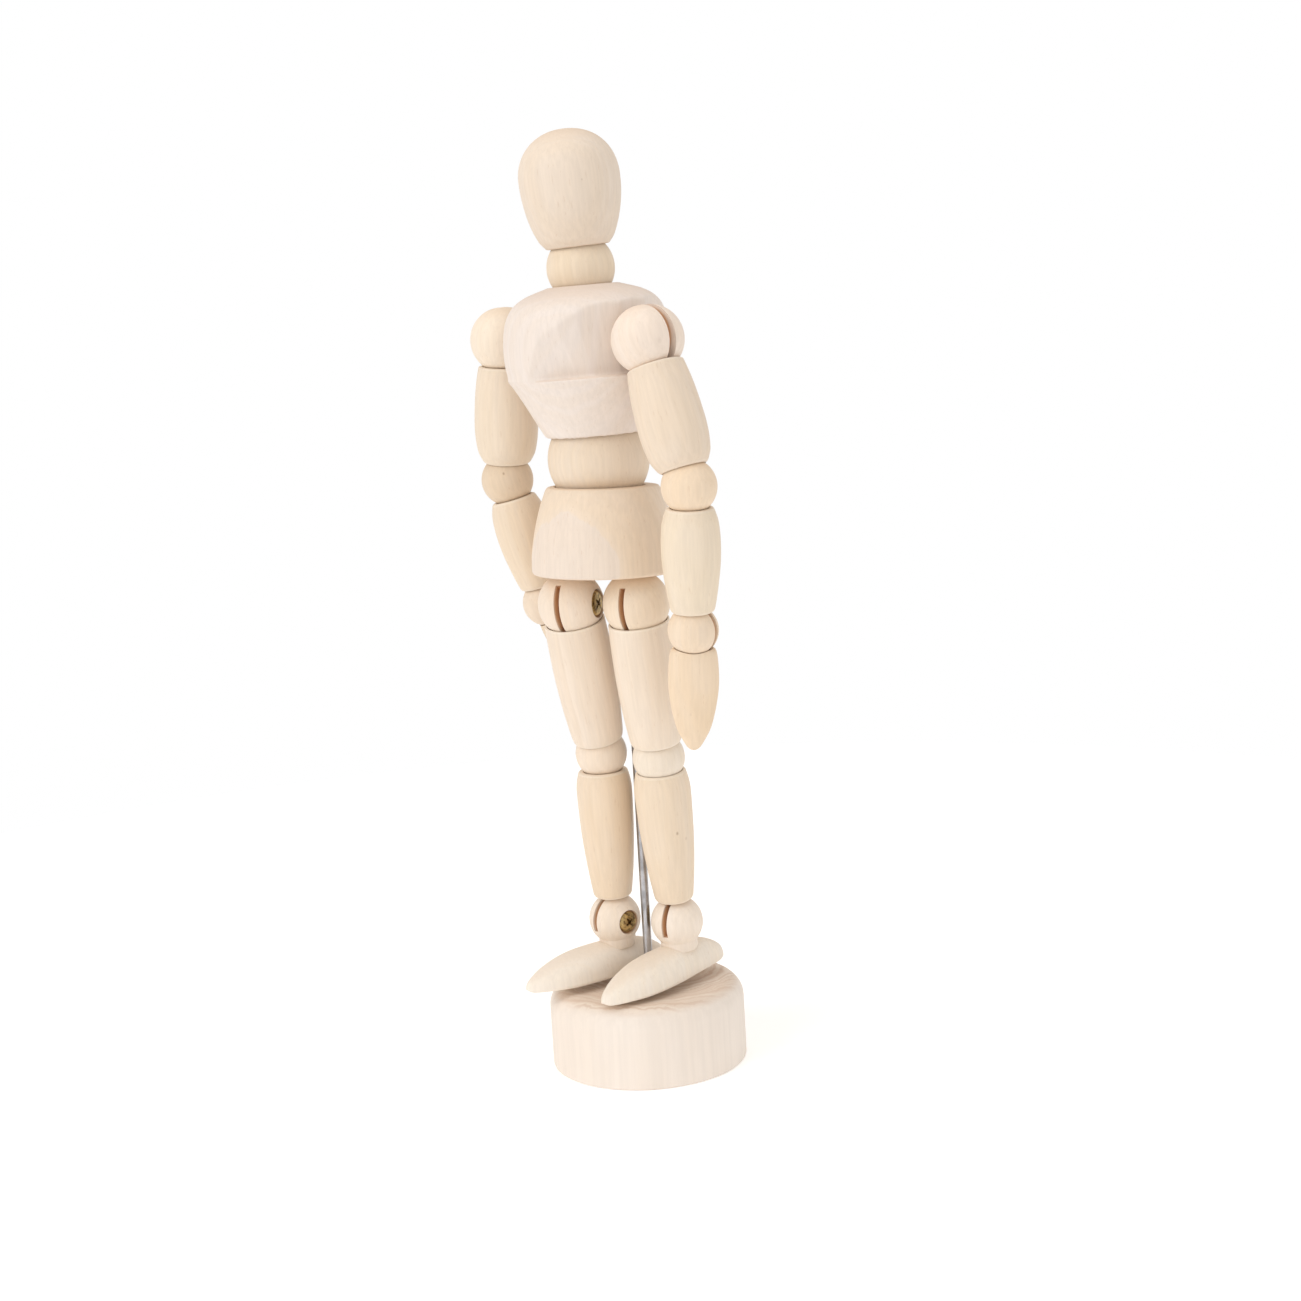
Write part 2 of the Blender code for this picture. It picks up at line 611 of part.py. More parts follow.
def build_leg(side, sign, turn_table):
    hip, knee, ankle = HIPS[side], KNEES[side], ANKLES[side]
    thigh_way = (knee - hip).normalized()
    shin_way = (ankle - knee).normalized()

    pin = -level_pin(HIP_PIN_TURN[side], thigh_way)
    hip_turn = empty(side + "_hip_turn", frame(hip, PELVIS_UP, pin), turn_table)
    hip_frame = frame(hip, -thigh_way, pin)
    name = side + "_hip_ball"
    ball = ball_piece(name, HIP_BALL, hip_frame, PELVIS_UP, HIP_SLOT, sign, SCREW_SHANK)
    carry(ball, hip_turn)
    screw = screw_piece(side + "_hip_screw", HIP_BALL, HIP_SCREW_HEAD, hip_frame, ball, sign)
    carry(screw, hip_turn)

    swing = empty(side + "_hip_swing", hip_frame, hip_turn)
    carry(link_piece(side + "_hip_link", HIP_BALL, hip_frame), swing)
    outer = [(4.2, 0.0), (4.45, 0.015), (4.6, 0.2), (4.6, 0.45), (4.35, 0.7), (3.9, 0.93)]
    outer += [(3.7, 0.985), (3.5, 1.0)]
    ends = (HIP_BALL, 2.6, LINK_SHANK + 0.4), (KNEE_BALL, 2.3, PEG_LENGTH + 0.4)
    length = (knee - hip).length
    carry(limb_piece(side + "_thigh", hip_frame, length, outer, *ends), swing)

    pin = level_pin(KNEE_PIN_TURN[side], shin_way)
    knee_frame = frame(knee, -shin_way, pin)
    name = side + "_knee_ball"
    carry(ball_piece(name, KNEE_BALL, knee_frame, -thigh_way, KNEE_SLOT, -1), swing)
    carry(pin_piece(side + "_knee_pin", KNEE_BALL, knee_frame, -1), swing)
    bend = empty(side + "_knee_bend", knee_frame, swing)
    carry(link_piece(side + "_knee_link", KNEE_BALL, knee_frame), bend)
    outer = [(3.5, 0.0), (3.8, 0.02), (4.15, 0.1), (4.22, 0.2), (4.0, 0.5), (3.55, 0.75)]
    outer += [(3.0, 0.95), (2.7, 1.0)]
    ends = (KNEE_BALL, 2.65, LINK_SHANK + 0.4), (ANKLE_BALL, 3.6, LINK_SHANK + 0.4)
    length = (ankle - knee).length
    carry(limb_piece(side + "_shin", knee_frame, length, outer, *ends), bend)
    build_foot(side, sign, bend, shin_way)


def build_foot(side, sign, shin_carrier, shin_way):
    ankle = ANKLES[side]
    pin = -level_pin(ANKLE_PIN_TURN[side], shin_way)
    link_frame = frame(ankle, shin_way, pin)
    carry(link_piece(side + "_ankle_link", ANKLE_BALL, link_frame), shin_carrier)
    ankle_bend = empty(side + "_ankle_bend", link_frame, shin_carrier)
    heading = Matrix.Rotation(math.radians(FOOT_TURN[side]), 3, "Z") @ Vector((0, -1, 0))
    pitch = math.radians(FOOT_PITCH[side])
    up = Vector((0, 0, 1)) * math.cos(pitch) + heading * math.sin(pitch)
    name = side + "_ankle_ball"
    hole, peg = SCREW_SHANK, FOOT_PEG_LENGTH
    ball = ball_piece(name, ANKLE_BALL, link_frame, -up, ANKLE_SLOT, sign, hole, peg)
    carry(ball, ankle_bend)
    head = ANKLE_SCREW_HEAD
    screw = screw_piece(side + "_ankle_screw", ANKLE_BALL, head, link_frame, ball, sign)
    carry(screw, ankle_bend)
    foot_frame = frame(ankle, up, up.cross(heading))
    foot_turn = empty(side + "_foot_turn", foot_frame, ankle_bend)
    carry(foot_piece(side + "_foot", foot_frame), foot_turn)


def foot_piece(name, where):
    """A wedge-shaped foot: stations are (distance ahead of the ankle, half width, sole, top)."""
    sole = -8.05
    stations = [(-7.9, 0.7, sole + 1.5, -5.6), (-7.3, 1.6, sole + 0.7, -3.6)]
    stations += [(-5.6, 2.3, sole + 0.15, -2.5), (-3.4, 2.6, sole, -2.6), (0.0, 3.2, sole, -3.2)]
    stations += [(3.5, 3.6, sole, -3.6), (7.5, 3.7, sole, -4.6), (11.0, 3.1, sole + 0.05, -5.7)]
    stations += [(14.0, 1.9, sole + 0.3, -6.8), (15.9, 0.7, sole + 0.7, -6.9)]
    rings = []
    for ahead, wide, low, high in stations:
        ring = [(-wide * 0.8, -ahead, low), (wide * 0.8, -ahead, low)]
        for i in range(9):
            t = math.pi * i / 8
            bulge = math.sin(t) ** 0.8
            ring.append((wide * math.cos(t), -ahead, low + (high - low) * (0.12 + 0.88 * bulge)))
        rings.append(ring)
    made = finished(lofted(rings), name, where, wood(name, 1.03))
    seat = turned(arc(ANKLE_BALL + SEAT_GAP, 0, 0, 180, 8), BALL_SIDES)
    cutter(seat, name + "_seat", where, made)
    low = -(ANKLE_BALL + FOOT_PEG_LENGTH + 0.4)
    cutter(rod_bm(BORE_RADIUS, low, 0, 12), name + "_bore", where, made)
    return made


def main():
    for leftover in list(bpy.data.objects):
        bpy.data.objects.remove(leftover)
    build_stand()
    turn_table = empty("figure_turn", Matrix.Identity(4))
    chest_carrier = build_trunk(turn_table)
    for side, sign in (("right", -1), ("left", 1)):
        build_arm(side, sign, chest_carrier)
        build_leg(side, sign, turn_table)
    bpy.context.view_layer.update()


main()
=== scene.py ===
"""The looks of a small jointed wooden artist's figure that stands on a steel rod in a round base.

Every wooden piece is turned or shaped again, more finely, in the frame of the joint that carries it: the
origin is the joint's centre, +X runs along its pin and -Z along the limb. Dimensions are millimetres and
become metres as the meshes are made.
"""

import json
import math
import zlib

import bmesh
import bpy
from mathutils import Matrix, Vector, noise


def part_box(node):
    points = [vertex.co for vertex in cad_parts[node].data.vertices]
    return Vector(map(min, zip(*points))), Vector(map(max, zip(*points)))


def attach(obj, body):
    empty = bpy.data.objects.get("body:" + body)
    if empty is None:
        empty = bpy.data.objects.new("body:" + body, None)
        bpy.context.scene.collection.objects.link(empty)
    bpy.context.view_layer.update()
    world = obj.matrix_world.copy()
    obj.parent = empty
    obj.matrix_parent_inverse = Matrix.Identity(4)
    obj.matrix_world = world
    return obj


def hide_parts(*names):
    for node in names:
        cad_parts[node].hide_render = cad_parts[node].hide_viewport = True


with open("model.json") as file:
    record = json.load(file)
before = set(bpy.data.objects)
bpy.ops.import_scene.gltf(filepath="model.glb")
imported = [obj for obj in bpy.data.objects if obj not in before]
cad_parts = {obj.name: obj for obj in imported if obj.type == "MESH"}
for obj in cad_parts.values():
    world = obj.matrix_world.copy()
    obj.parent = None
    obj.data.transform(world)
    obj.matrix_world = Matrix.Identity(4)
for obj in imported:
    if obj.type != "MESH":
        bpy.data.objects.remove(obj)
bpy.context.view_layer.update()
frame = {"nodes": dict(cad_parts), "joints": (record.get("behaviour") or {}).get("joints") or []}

MM = 0.001
JOINTS = {j["name"]: (Vector(j["pos_m"]) / MM, Vector(j["axis"])) for j in frame["joints"]}
NODES = frame["nodes"]
WORLD = Matrix.Identity(4)
LEFTWARD = Vector((1, 0, 0))

# Balls, their seats, and what goes through them
WAIST_BALL = 7.2
NECK_BALL = 4.75
SHOULDER_BALL = 5.1
ELBOW_BALL = 3.8
WRIST_BALL = 3.5
HIP_BALL = 4.75
KNEE_BALL = 3.8
ANKLE_BALL = 3.85
SEAT_GAP = 0.14
NECK_SEAT_GAP = 0.3
NECK_BORE = 2.3
PEG_RADIUS = 1.15
BALL_PEG = 4.0
FOOT_PEG = 2.4
PIN_RADIUS = 0.45
LINK_HALF_WIDTH = 1.1
SLOT_GAP = 0.2
SLOT_WIDTH = 0.85
SHOULDER_SLOT_WIDTH = 1.25
SHOULDER_TRIM = 0.45
SHOULDER_SPREAD = 0.42
SHOULDER_SINK = {"right": 0.25, "left": 0.45}
ANKLE_COLLAR = (2.75, 4.15)

# How far each ball's slot is cut, in degrees about its pin from straight down the limb
SHOULDER_SLOT = (-4, 160)
ELBOW_SLOTS = {"right": (-72, 10), "left": (-22, 14)}
WRIST_SLOTS = {"right": (-35, 35), "left": (-35, 125)}
HIP_SLOTS = {"right": (-8, 130), "left": (-8, 119)}
KNEE_SLOT = (-4, 70)
ANKLE_SLOT = (-88, 8)

# Screws
HIP_SCREW_HEAD = 1.8
ANKLE_SCREW_HEAD = 1.55
SCREW_HEAD_THICKNESS = 0.68
SCREW_SHANK = 0.55
CROSS_TURN = 33
CROSS_HALF_WIDTH = 0.17

# Base, rod, pelvis, chest and head
ROD_RADIUS = 0.65
ROD_BOTTOM = 4.0
ROD_TOP = 80.5
BASE_HEIGHT = 11.85
BASE_RADIUS = 14.5
BASE_EDGE = 2.9
BASE_OFFSET = Vector((-0.4, -0.4, 0.0))
PELVIS_HEIGHT = 12.3
PELVIS_RADIUS = 10.4
CHEST_BELOW_RIM = 3.5
CHEST_HEIGHT = 20.6
RIDGE_HEIGHT = 8.3
HEAD_BELOW_RIM = 2.9
HEAD_RADIUS = 7.0
HEAD_WIDEST = HEAD_BELOW_RIM + 9.1
HEAD_DOME = 6.75
HEAD_JAW = 12.0

# Outlines of the pelvis and the chest as (radius, height above the lower rim)
PELVIS_OUTLINE = (
    (9.75, 0.0), (10.15, 0.12), (10.36, 0.45), (10.38, 1.0), (10.3, 3.0), (9.85, 6.0), (9.15, 9.0),
    (8.4, 11.2), (8.12, 11.85), (7.85, 12.2), (7.45, PELVIS_HEIGHT),
)
CHEST_OUTLINE = (
    (6.85, 0.0), (7.12, 0.14), (7.35, 0.5), (9.2, 4.1), (10.7, 6.8), (11.55, RIDGE_HEIGHT - 0.15),
    (11.68, RIDGE_HEIGHT + 0.15), (11.6, RIDGE_HEIGHT + 0.6), (11.78, 10.0), (11.85, 11.5), (11.75, 13.5),
    (11.3, 16.0), (10.5, 17.7), (9.5, 18.75), (8.1, 19.55), (6.5, 20.1), (5.3, 20.45), (4.95, CHEST_HEIGHT),
)

# Flats round each side of the chest: (turn from the front, distance from the axis at FLAT_MIDDLE, lean out
# per mm of height), from the ridge to FLAT_TOP
FLAT_MIDDLE = 13
FLAT_TOP = 22.6
CHEST_FLATS = {
    "right": ((78.0, 9.6, 0.10), (112.0, 9.55, 0.10)),
    "left": (
        (33.0, 10.8, 0.25), (47.0, 10.3, 0.17), (62.0, 9.75, 0.10), (86.0, 9.6, 0.10), (112.0, 9.55, 0.10)
    ),
}

# Outlines of the limbs as (radius, share of the way from rim to rim), and their bores
LIMB_EASE = 0.974
BORE_RADIUS = 1.45
LINK_BORE = 4.9
PEG_BORE = 4.4
SHIN_RIMS = {"right": 2.6, "left": 2.0}
UPPER_ARM_OUTLINE = (
    (3.62, 0.0), (3.86, 0.008), (4.05, 0.035), (4.5, 0.25), (4.72, 0.5), (4.68, 0.7), (4.3, 0.87),
    (3.75, 0.955), (3.45, 0.985), (3.15, 1.0),
)
FOREARM_OUTLINE = (
    (3.05, 0.0), (3.3, 0.01), (3.52, 0.045), (3.95, 0.15), (4.15, 0.33), (4.05, 0.55), (3.6, 0.8),
    (3.2, 0.95), (3.02, 0.985), (2.75, 1.0),
)
THIGH_OUTLINE = (
    (4.25, 0.0), (4.42, 0.006), (4.5, 0.025), (4.6, 0.2), (4.6, 0.45), (4.35, 0.7), (3.95, 0.92),
    (3.82, 0.965), (3.66, 0.992), (3.4, 1.0),
)
SHIN_OUTLINE = (
    (3.42, 0.0), (3.64, 0.005), (3.82, 0.02), (4.15, 0.1), (4.22, 0.2), (4.0, 0.5), (3.55, 0.75),
    (3.02, 0.95), (2.86, 0.985), (2.6, 1.0),
)

# Hand: (distance below the wrist, half width, half thickness), and its turn about its length
HAND_STATIONS = (
    (2.45, 2.75, 2.09), (2.9, 3.15, 2.28), (4.5, 3.4, 2.3275), (7.5, 3.5, 2.1375), (10.5, 3.15, 1.7575),
    (13.5, 2.45, 1.3775), (15.4, 1.55, 0.95), (16.5, 0.85, 0.57), (16.85, 0.35, 0.285),
)
HAND_TWIST = {"right": 0.0, "left": -63.0}

# Foot: (distance ahead of the ankle, half width, sole, top), and how far its toe is tipped up
SOLE = -7.97
FOOT_STATIONS = (
    (-7.95, 0.5, SOLE + 0.8, -6.5), (-7.5, 1.35, SOLE + 0.35, -5.75), (-6.3, 2.05, SOLE + 0.15, -4.85),
    (-4.2, 2.4, SOLE + 0.03, -3.85), (-1.5, 2.8, SOLE, -3.35), (1.0, 3.2, SOLE, -3.2),
    (3.5, 3.55, SOLE, -3.15), (7.0, 3.65, SOLE, -3.35), (10.0, 3.3, SOLE, -3.9),
    (12.7, 2.5, SOLE + 0.1, -4.8), (14.6, 1.6, SOLE + 0.15, -5.75), (15.5, 0.95, SOLE + 0.25, -6.4),
    (15.9, 0.4, SOLE + 0.5, -7.0),
)
FOOT_LIFT = {"right": -3.0, "left": 0.0}

# Resolution of the pieces
TRUNK_SIDES = 112
LIMB_SIDES = 72
BALL_SIDES = 56
HAND_SIDES = 40
SMOOTH_ANGLE = math.radians(32)

# Camera, aimed at the figure's middle: degrees, metres, and the lens in millimetres
CAMERA_TURN = 45.0
CAMERA_RISE = 8.0
CAMERA_ROLL = 3.3
CAMERA_AWAY = 0.276
CAMERA_TARGET = Vector((0.00209, 0.00209, 0.0614))
LENS = 52.3

# The tone of each piece of wood, as a linear colour
TONES = {
    "head": (0.803, 0.686, 0.568),
    "neck_ball": (0.835, 0.700, 0.539),
    "chest": (0.817, 0.729, 0.665),
    "waist_ball": (0.795, 0.659, 0.508),
    "pelvis": (0.805, 0.670, 0.530),
    "right_shoulder_ball": (0.873, 0.758, 0.625),
    "right_upper_arm": (0.795, 0.672, 0.531),
    "right_elbow_ball": (0.728, 0.584, 0.432),
    "right_forearm": (0.795, 0.659, 0.508),
    "right_wrist_ball": (0.795, 0.659, 0.519),
    "right_hand": (0.750, 0.606, 0.440),
    "right_hip_ball": (0.834, 0.707, 0.580),
    "right_thigh": (0.810, 0.686, 0.562),
    "right_knee_ball": (0.827, 0.699, 0.571),
    "right_shin": (0.788, 0.639, 0.479),
    "right_ankle_ball": (0.857, 0.743, 0.625),
    "right_foot": (0.891, 0.817, 0.725),
    "left_shoulder_ball": (0.873, 0.750, 0.645),
    "left_upper_arm": (0.795, 0.666, 0.531),
    "left_elbow_ball": (0.841, 0.679, 0.508),
    "left_forearm": (0.803, 0.686, 0.537),
    "left_wrist_ball": (0.818, 0.666, 0.506),
    "left_hand": (0.810, 0.645, 0.468),
    "left_hip_ball": (0.826, 0.686, 0.531),
    "left_thigh": (0.818, 0.700, 0.574),
    "left_knee_ball": (0.826, 0.729, 0.612),
    "left_shin": (0.795, 0.659, 0.508),
    "left_ankle_ball": (0.867, 0.765, 0.661),
    "left_foot": (0.876, 0.795, 0.693),
}
ROSY = (0.79, 0.700, 0.620)
# Painted warm orange shade for the inside of the cut-in slots and recesses
SLOT_SHADE_ORANGE = (0.78, 0.46, 0.24)
# Painted pale highlight band along the limbs' rims
RIM_HIGHLIGHT = (0.88, 0.80, 0.69)
KNOT = (0.30, 0.17, 0.09)

# Small knots and dents: (turn from the front in degrees, distance below the joint, distance from the axis,
# radius, strength)
MARKS = {
    "left_shoulder_ball": ((19.5, 0.3, 4.6, 0.30, 0.55), (62.0, 1.6, 4.5, 0.5, 0.12)),
    "right_elbow_ball": ((45.0, -1.3, 3.55, 0.22, 0.5),),
    "left_shin": ((67.0, 10.6, 4.1, 0.30, 0.55), (88.0, 11.8, 4.1, 0.35, 0.30), (64.0, 12.0, 4.1, 0.18, 0.3)),
    "left_hand": ((33.0, 4.1, 2.6, 0.22, 0.55), (60.0, 4.1, 2.8, 0.22, 0.5), (30.0, 11.5, 1.9, 0.3, 0.25)),
    "head": ((60.0, -11.5, 6.9, 0.16, 0.3),),
}


# ---------------------------------------------------------------- materials

class Graph:
    """Short calls for building one material's nodes."""

    def __init__(self, name, roughness, metallic=0.0, where=WORLD):
        self.material = bpy.data.materials.new(name)
        self.material.use_nodes = True
        self.tree = self.material.node_tree
        self.shader = self.tree.nodes["Principled BSDF"]
        self.shader.inputs["Metallic"].default_value = metallic
        self.shader.inputs["Roughness"].default_value = roughness
        self.where = self.tree.nodes.new("ShaderNodeTexCoord")
        self.along = Vector(where.col[2][:3])
        self.turn = where.to_3x3().inverted().to_euler()

    def link(self, out, into):
        self.tree.links.new(out, into)

    def node(self, kind, settings=(), **inputs):
        """A new node. An input's key is its name with _ for each space, or _ and its number."""
        made = self.tree.nodes.new(kind)
        for key, value in settings:
            setattr(made, key, value)
        for key, value in inputs.items():
            socket = made.inputs[int(key[1:])] if key[0] == "_" else made.inputs[key.replace("_", " ")]
            if isinstance(value, bpy.types.NodeSocket):
                self.link(value, socket)
            else:
                socket.default_value = value
        return made

    def placed(self, scale, offset=(0, 0, 0)):
        """The piece's own coordinates in millimetres, with Z along its grain, stretched by scale."""
        first = self.node(
            "ShaderNodeMapping",
            Vector=self.where.outputs["Object"],
            Scale=(1 / MM, 1 / MM, 1 / MM),
            Rotation=self.turn,
            Location=offset,
        )
        return self.vector_maths("MULTIPLY", first.outputs[0], scale)

    def noise(self, vector, scale, detail=4.0, rough=0.55, distortion=0.0):
        made = self.node(
            "ShaderNodeTexNoise",
            Vector=vector,
            Scale=scale,
            Detail=detail,
            Roughness=rough,
            Distortion=distortion,
        )
        return made.outputs[0]

    def layers(self, depth, scale, detail):
        """Noise along one line: growth layers at a depth in the wood."""
        settings = [("noise_dimensions", "1D")]
        return self.node("ShaderNodeTexNoise", settings, W=depth, Scale=scale, Detail=detail).outputs[0]

    def remap(self, value, low, high, to_low=0.0, to_high=1.0):
        made = self.node(
            "ShaderNodeMapRange",
            [("interpolation_type", "SMOOTHSTEP")],
            Value=value,
            From_Min=low,
            From_Max=high,
            To_Min=to_low,
            To_Max=to_high,
        )
        return made.outputs[0]

    def mix(self, factor, one, two, blend="MIX"):
        made = self.tree.nodes.new("ShaderNodeMix")
        made.data_type = "RGBA"
        made.blend_type = blend
        for index, value in ((0, factor), (6, one), (7, two)):
            if isinstance(value, bpy.types.NodeSocket):
                self.link(value, made.inputs[index])
            elif index:
                made.inputs[index].default_value = (*value, 1.0)
            else:
                made.inputs[index].default_value = value
        return made.outputs[2]

    def shaded(self, colour, grey):
        """The colour multiplied by a grey level."""
        level = self.node("ShaderNodeCombineColor", _0=grey, _1=grey, _2=grey)
        return self.mix(1.0, colour, level.outputs[0], "MULTIPLY")

    def maths(self, operation, one, two=0.0):
        return self.node("ShaderNodeMath", [("operation", operation)], _0=one, _1=two).outputs[0]

    def vector_maths(self, operation, *values):
        """A product is a vector, and a length, distance or dot product is a number."""
        inputs = {f"_{i}": value for i, value in enumerate(values)}
        made = self.node("ShaderNodeVectorMath", [("operation", operation)], **inputs)
        return made.outputs["Vector" if operation == "MULTIPLY" else "Value"]

    def grain_end(self):
        """How far the surface faces along the grain: 1 at end grain, 0 at the sides."""
        facing = self.vector_maths("DOT_PRODUCT", self.where.outputs["Normal"], self.along)
        return self.maths("ABSOLUTE", facing)

    def bump(self, height, strength, distance):
        made = self.node("ShaderNodeBump", Height=height, Strength=strength, Distance=distance)
        self.link(made.outputs[0], self.shader.inputs["Normal"])


def seed_of(name):
    number = zlib.crc32(name.encode())
    return Vector((number % 97, number // 97 % 89, number // 8633 % 83))


def tinted(colour, factors):
    return tuple(c * k for c, k in zip(colour, factors))


def layered_wood(g, tone, seed, ring_turn, ring_edge, blush, pith):
    """Clean wood: rosy patches, growth layers round a pith, and one clear layer edge if it has one."""
    broad = g.noise(g.placed((1, 1, 0.45), seed), 0.16, 2.0, 0.5)
    cloud = g.noise(g.placed((1, 1, 0.3), seed), 0.42, 3.0, 0.5)
    angle = math.radians(ring_turn if ring_turn is not None else seed.x * 3.7)
    heart = (-pith * math.sin(angle), pith * math.cos(angle), 0.0)
    depth = g.maths("SUBTRACT", g.vector_maths("DISTANCE", g.placed((1, 1, 0.02)), heart), pith)
    wavy = g.maths("ADD", depth, g.maths("MULTIPLY", cloud, 0.9))
    layer = g.remap(g.layers(wavy, 0.75, 2.0), 0.36, 0.64)

    blushed = tuple(0.55 * a + 0.45 * b for a, b in zip(tone, ROSY))
    colour = g.mix(g.remap(broad, 0.35, 0.68, 0, blush), tone, blushed)
    colour = g.mix(g.maths("MULTIPLY", layer, 0.32), colour, tinted(tone, (0.97, 0.93, 0.86)))
    if ring_edge is not None:
        edge = g.remap(wavy, ring_edge + 0.38, ring_edge + 0.52, 0, 0.5)
        colour = g.mix(edge, colour, tinted(ROSY, (0.97, 0.97, 1.0)))
    return colour


def end_grain(g, colour, tone, seed):
    """Darkens the ends of the fibres, between their pores."""
    ends = g.remap(g.grain_end(), 0.62, 0.98, 0, 0.55)
    pores = g.remap(g.noise(g.placed((1, 1, 1), seed), 4.5, 4.0, 0.6), 0.35, 0.65, 0.75, 1.0)
    return g.mix(g.maths("MULTIPLY", ends, pores), colour, tinted(tone, (0.93, 0.86, 0.80)))


def knots_and_painted_light(g, colour, node, where, slot_shade_radius, rims):
    """Adds painted warm shade inside the slots and recesses, painted pale highlight bands at the rims, and
    knots and dents.
    """
    # Painted warm shade inside the slots and recesses, below the given radius from the joint
    if slot_shade_radius:
        deep = g.vector_maths("LENGTH", g.placed((1, 1, 1)))
        colour = g.mix(g.remap(deep, slot_shade_radius - 0.5, slot_shade_radius - 0.12, 0.85, 0), colour, SLOT_SHADE_ORANGE)
    height = g.node("ShaderNodeSeparateXYZ", _0=g.placed((1, 1, 1))).outputs[2]
    # Painted pale highlight bands at the rims' heights
    for rim in rims:
        near = g.maths("ABSOLUTE", g.maths("SUBTRACT", height, rim))
        colour = g.mix(g.remap(near, 0.05, 0.45, 0.55, 0), colour, RIM_HIGHLIGHT)
    for turn, down, reach, radius, strength in MARKS.get(node, ()):
        faces = Vector((math.sin(math.radians(turn)), -math.cos(math.radians(turn)), 0.0))
        spot_at = where.to_3x3().inverted() @ faces * reach
        spot_at.z = -down * 0.7
        away = g.vector_maths("DISTANCE", g.placed((1, 1, 0.7)), spot_at)
        colour = g.mix(g.remap(away, radius * 0.35, radius, strength, 0), colour, KNOT)
    return colour


def wood_material(node, where, ring_turn=None, ring_edge=None, blush=0.5, slot_shade_radius=None, rims=(), pith=24.0):
    """Pale close-grained wood with its grain along Z.

    ring_turn is the direction, in degrees round from -Y, that the growth layers face, ring_edge the distance
    of one clear layer edge, and pith how far off their middle is. sawn is the radius below which the cut-in
    slots and recesses get a painted warm shade, and rims are the heights of edges with a painted highlight
    band.
    """
    g = Graph(node + "_grain", 0.55, where=where)
    g.shader.inputs["Specular IOR Level"].default_value = 0.32
    tone = TONES[node]
    seed = seed_of(node)
    fibre = g.noise(g.placed((1, 1, 0.055), seed), 1.9, 6.0, 0.62, 0.25)
    fine = g.noise(g.placed((1, 1, 0.035), seed), 6.5, 3.0, 0.6)

    colour = layered_wood(g, tone, seed, ring_turn, ring_edge, blush, pith)
    colour = g.shaded(colour, g.remap(fibre, 0.30, 0.72, 0.955, 1.025))
    flecks = g.remap(g.noise(g.placed((1, 1, 0.16), seed), 3.4, 2.0, 0.5), 0.655, 0.72, 0, 0.20)
    colour = g.mix(flecks, colour, tinted(tone, (0.72, 0.58, 0.46)))
    colour = end_grain(g, colour, tone, seed)
    colour = knots_and_painted_light(g, colour, node, where, slot_shade_radius, rims)
    g.link(colour, g.shader.inputs["Base Color"])
    g.link(g.remap(fine, 0.3, 0.7, 0.47, 0.62), g.shader.inputs["Roughness"])

    ridges = g.noise(g.placed((0.03, 0.03, 1), seed), 2.6, 2.0, 0.5)
    height = g.maths("ADD", g.maths("MULTIPLY", fibre, 0.8), g.maths("MULTIPLY", fine, 0.5))
    height = g.maths("ADD", height, g.maths("MULTIPLY", ridges, 0.55))
    height = g.maths("SUBTRACT", height, g.maths("MULTIPLY", flecks, 1.2))
    g.bump(height, 0.28, 0.00006)
    return g.material


def base_material():
    """The base's look: pale side with upright grain, and a sawn top with rough rings and rays, its brown
    partly painted shade.
    """
    g = Graph("base_grain", 0.6)
    g.shader.inputs["Specular IOR Level"].default_value = 0.25
    fibre = g.noise(g.placed((1, 1, 0.05)), 1.1, 6.0, 0.6, 0.2)
    fine = g.noise(g.placed((1, 1, 0.05)), 4.5, 3.0, 0.6)
    broad = g.noise(g.placed((1, 1, 0.4), (31, 7, 5)), 0.10, 3.0, 0.5)
    colour = g.mix(g.remap(broad, 0.35, 0.66), (0.835, 0.755, 0.680), (0.815, 0.725, 0.640))
    colour = g.shaded(colour, g.remap(fibre, 0.30, 0.72, 0.962, 1.02))

    across = g.placed((1, 1, 0.0), (3.0, -5.0, 0.0))
    apart = g.vector_maths("LENGTH", across)
    wavy = g.maths("ADD", apart, g.maths("MULTIPLY", g.noise(across, 0.25, 3.0), 2.5))
    rings = g.layers(wavy, 1.3, 3.0)
    saw = g.noise(g.placed((1, 0.06, 1)), 2.2, 5.0, 0.65)
    top = g.remap(g.grain_end(), 0.55, 0.95)
    # The top's darker brown is end grain, rings and saw marks, darkened further as painted shade
    top_grain_and_shade = g.mix(g.remap(rings, 0.35, 0.65), (0.80, 0.69, 0.585), (0.66, 0.50, 0.385))
    top_grain_and_shade = g.mix(g.remap(saw, 0.50, 0.70, 0, 0.45), top_grain_and_shade, (0.62, 0.49, 0.38))
    colour = g.mix(g.maths("MULTIPLY", top, 0.8), colour, top_grain_and_shade)
    g.link(colour, g.shader.inputs["Base Color"])
    g.link(g.remap(fine, 0.3, 0.7, 0.52, 0.68), g.shader.inputs["Roughness"])

    height = g.maths("ADD", g.maths("MULTIPLY", fibre, 0.8), g.maths("MULTIPLY", fine, 0.5))
    height = g.maths("ADD", height, g.maths("MULTIPLY", g.maths("MULTIPLY", saw, top), 1.8))
    g.bump(height, 0.35, 0.00008)
    return g.material


def steel_material(name, where, colour, rough):
    """Drawn steel: fine lines along Z and faint cloudy oxide."""
    g = Graph(name, rough, 1.0, where)
    seed = seed_of(name)
    lines = g.noise(g.placed((1, 1, 0.04), seed), 9.0, 3.0)
    cloud = g.noise(g.placed((1, 1, 0.5), seed), 0.7, 4.0)
    oxide = tinted(colour, (0.62, 0.62, 0.62))
    g.link(g.mix(g.remap(cloud, 0.42, 0.72), colour, oxide), g.shader.inputs["Base Color"])
    g.link(g.remap(lines, 0.3, 0.7, rough - 0.06, rough + 0.16), g.shader.inputs["Roughness"])
    g.bump(lines, 0.2, 0.00003)
    return g.material


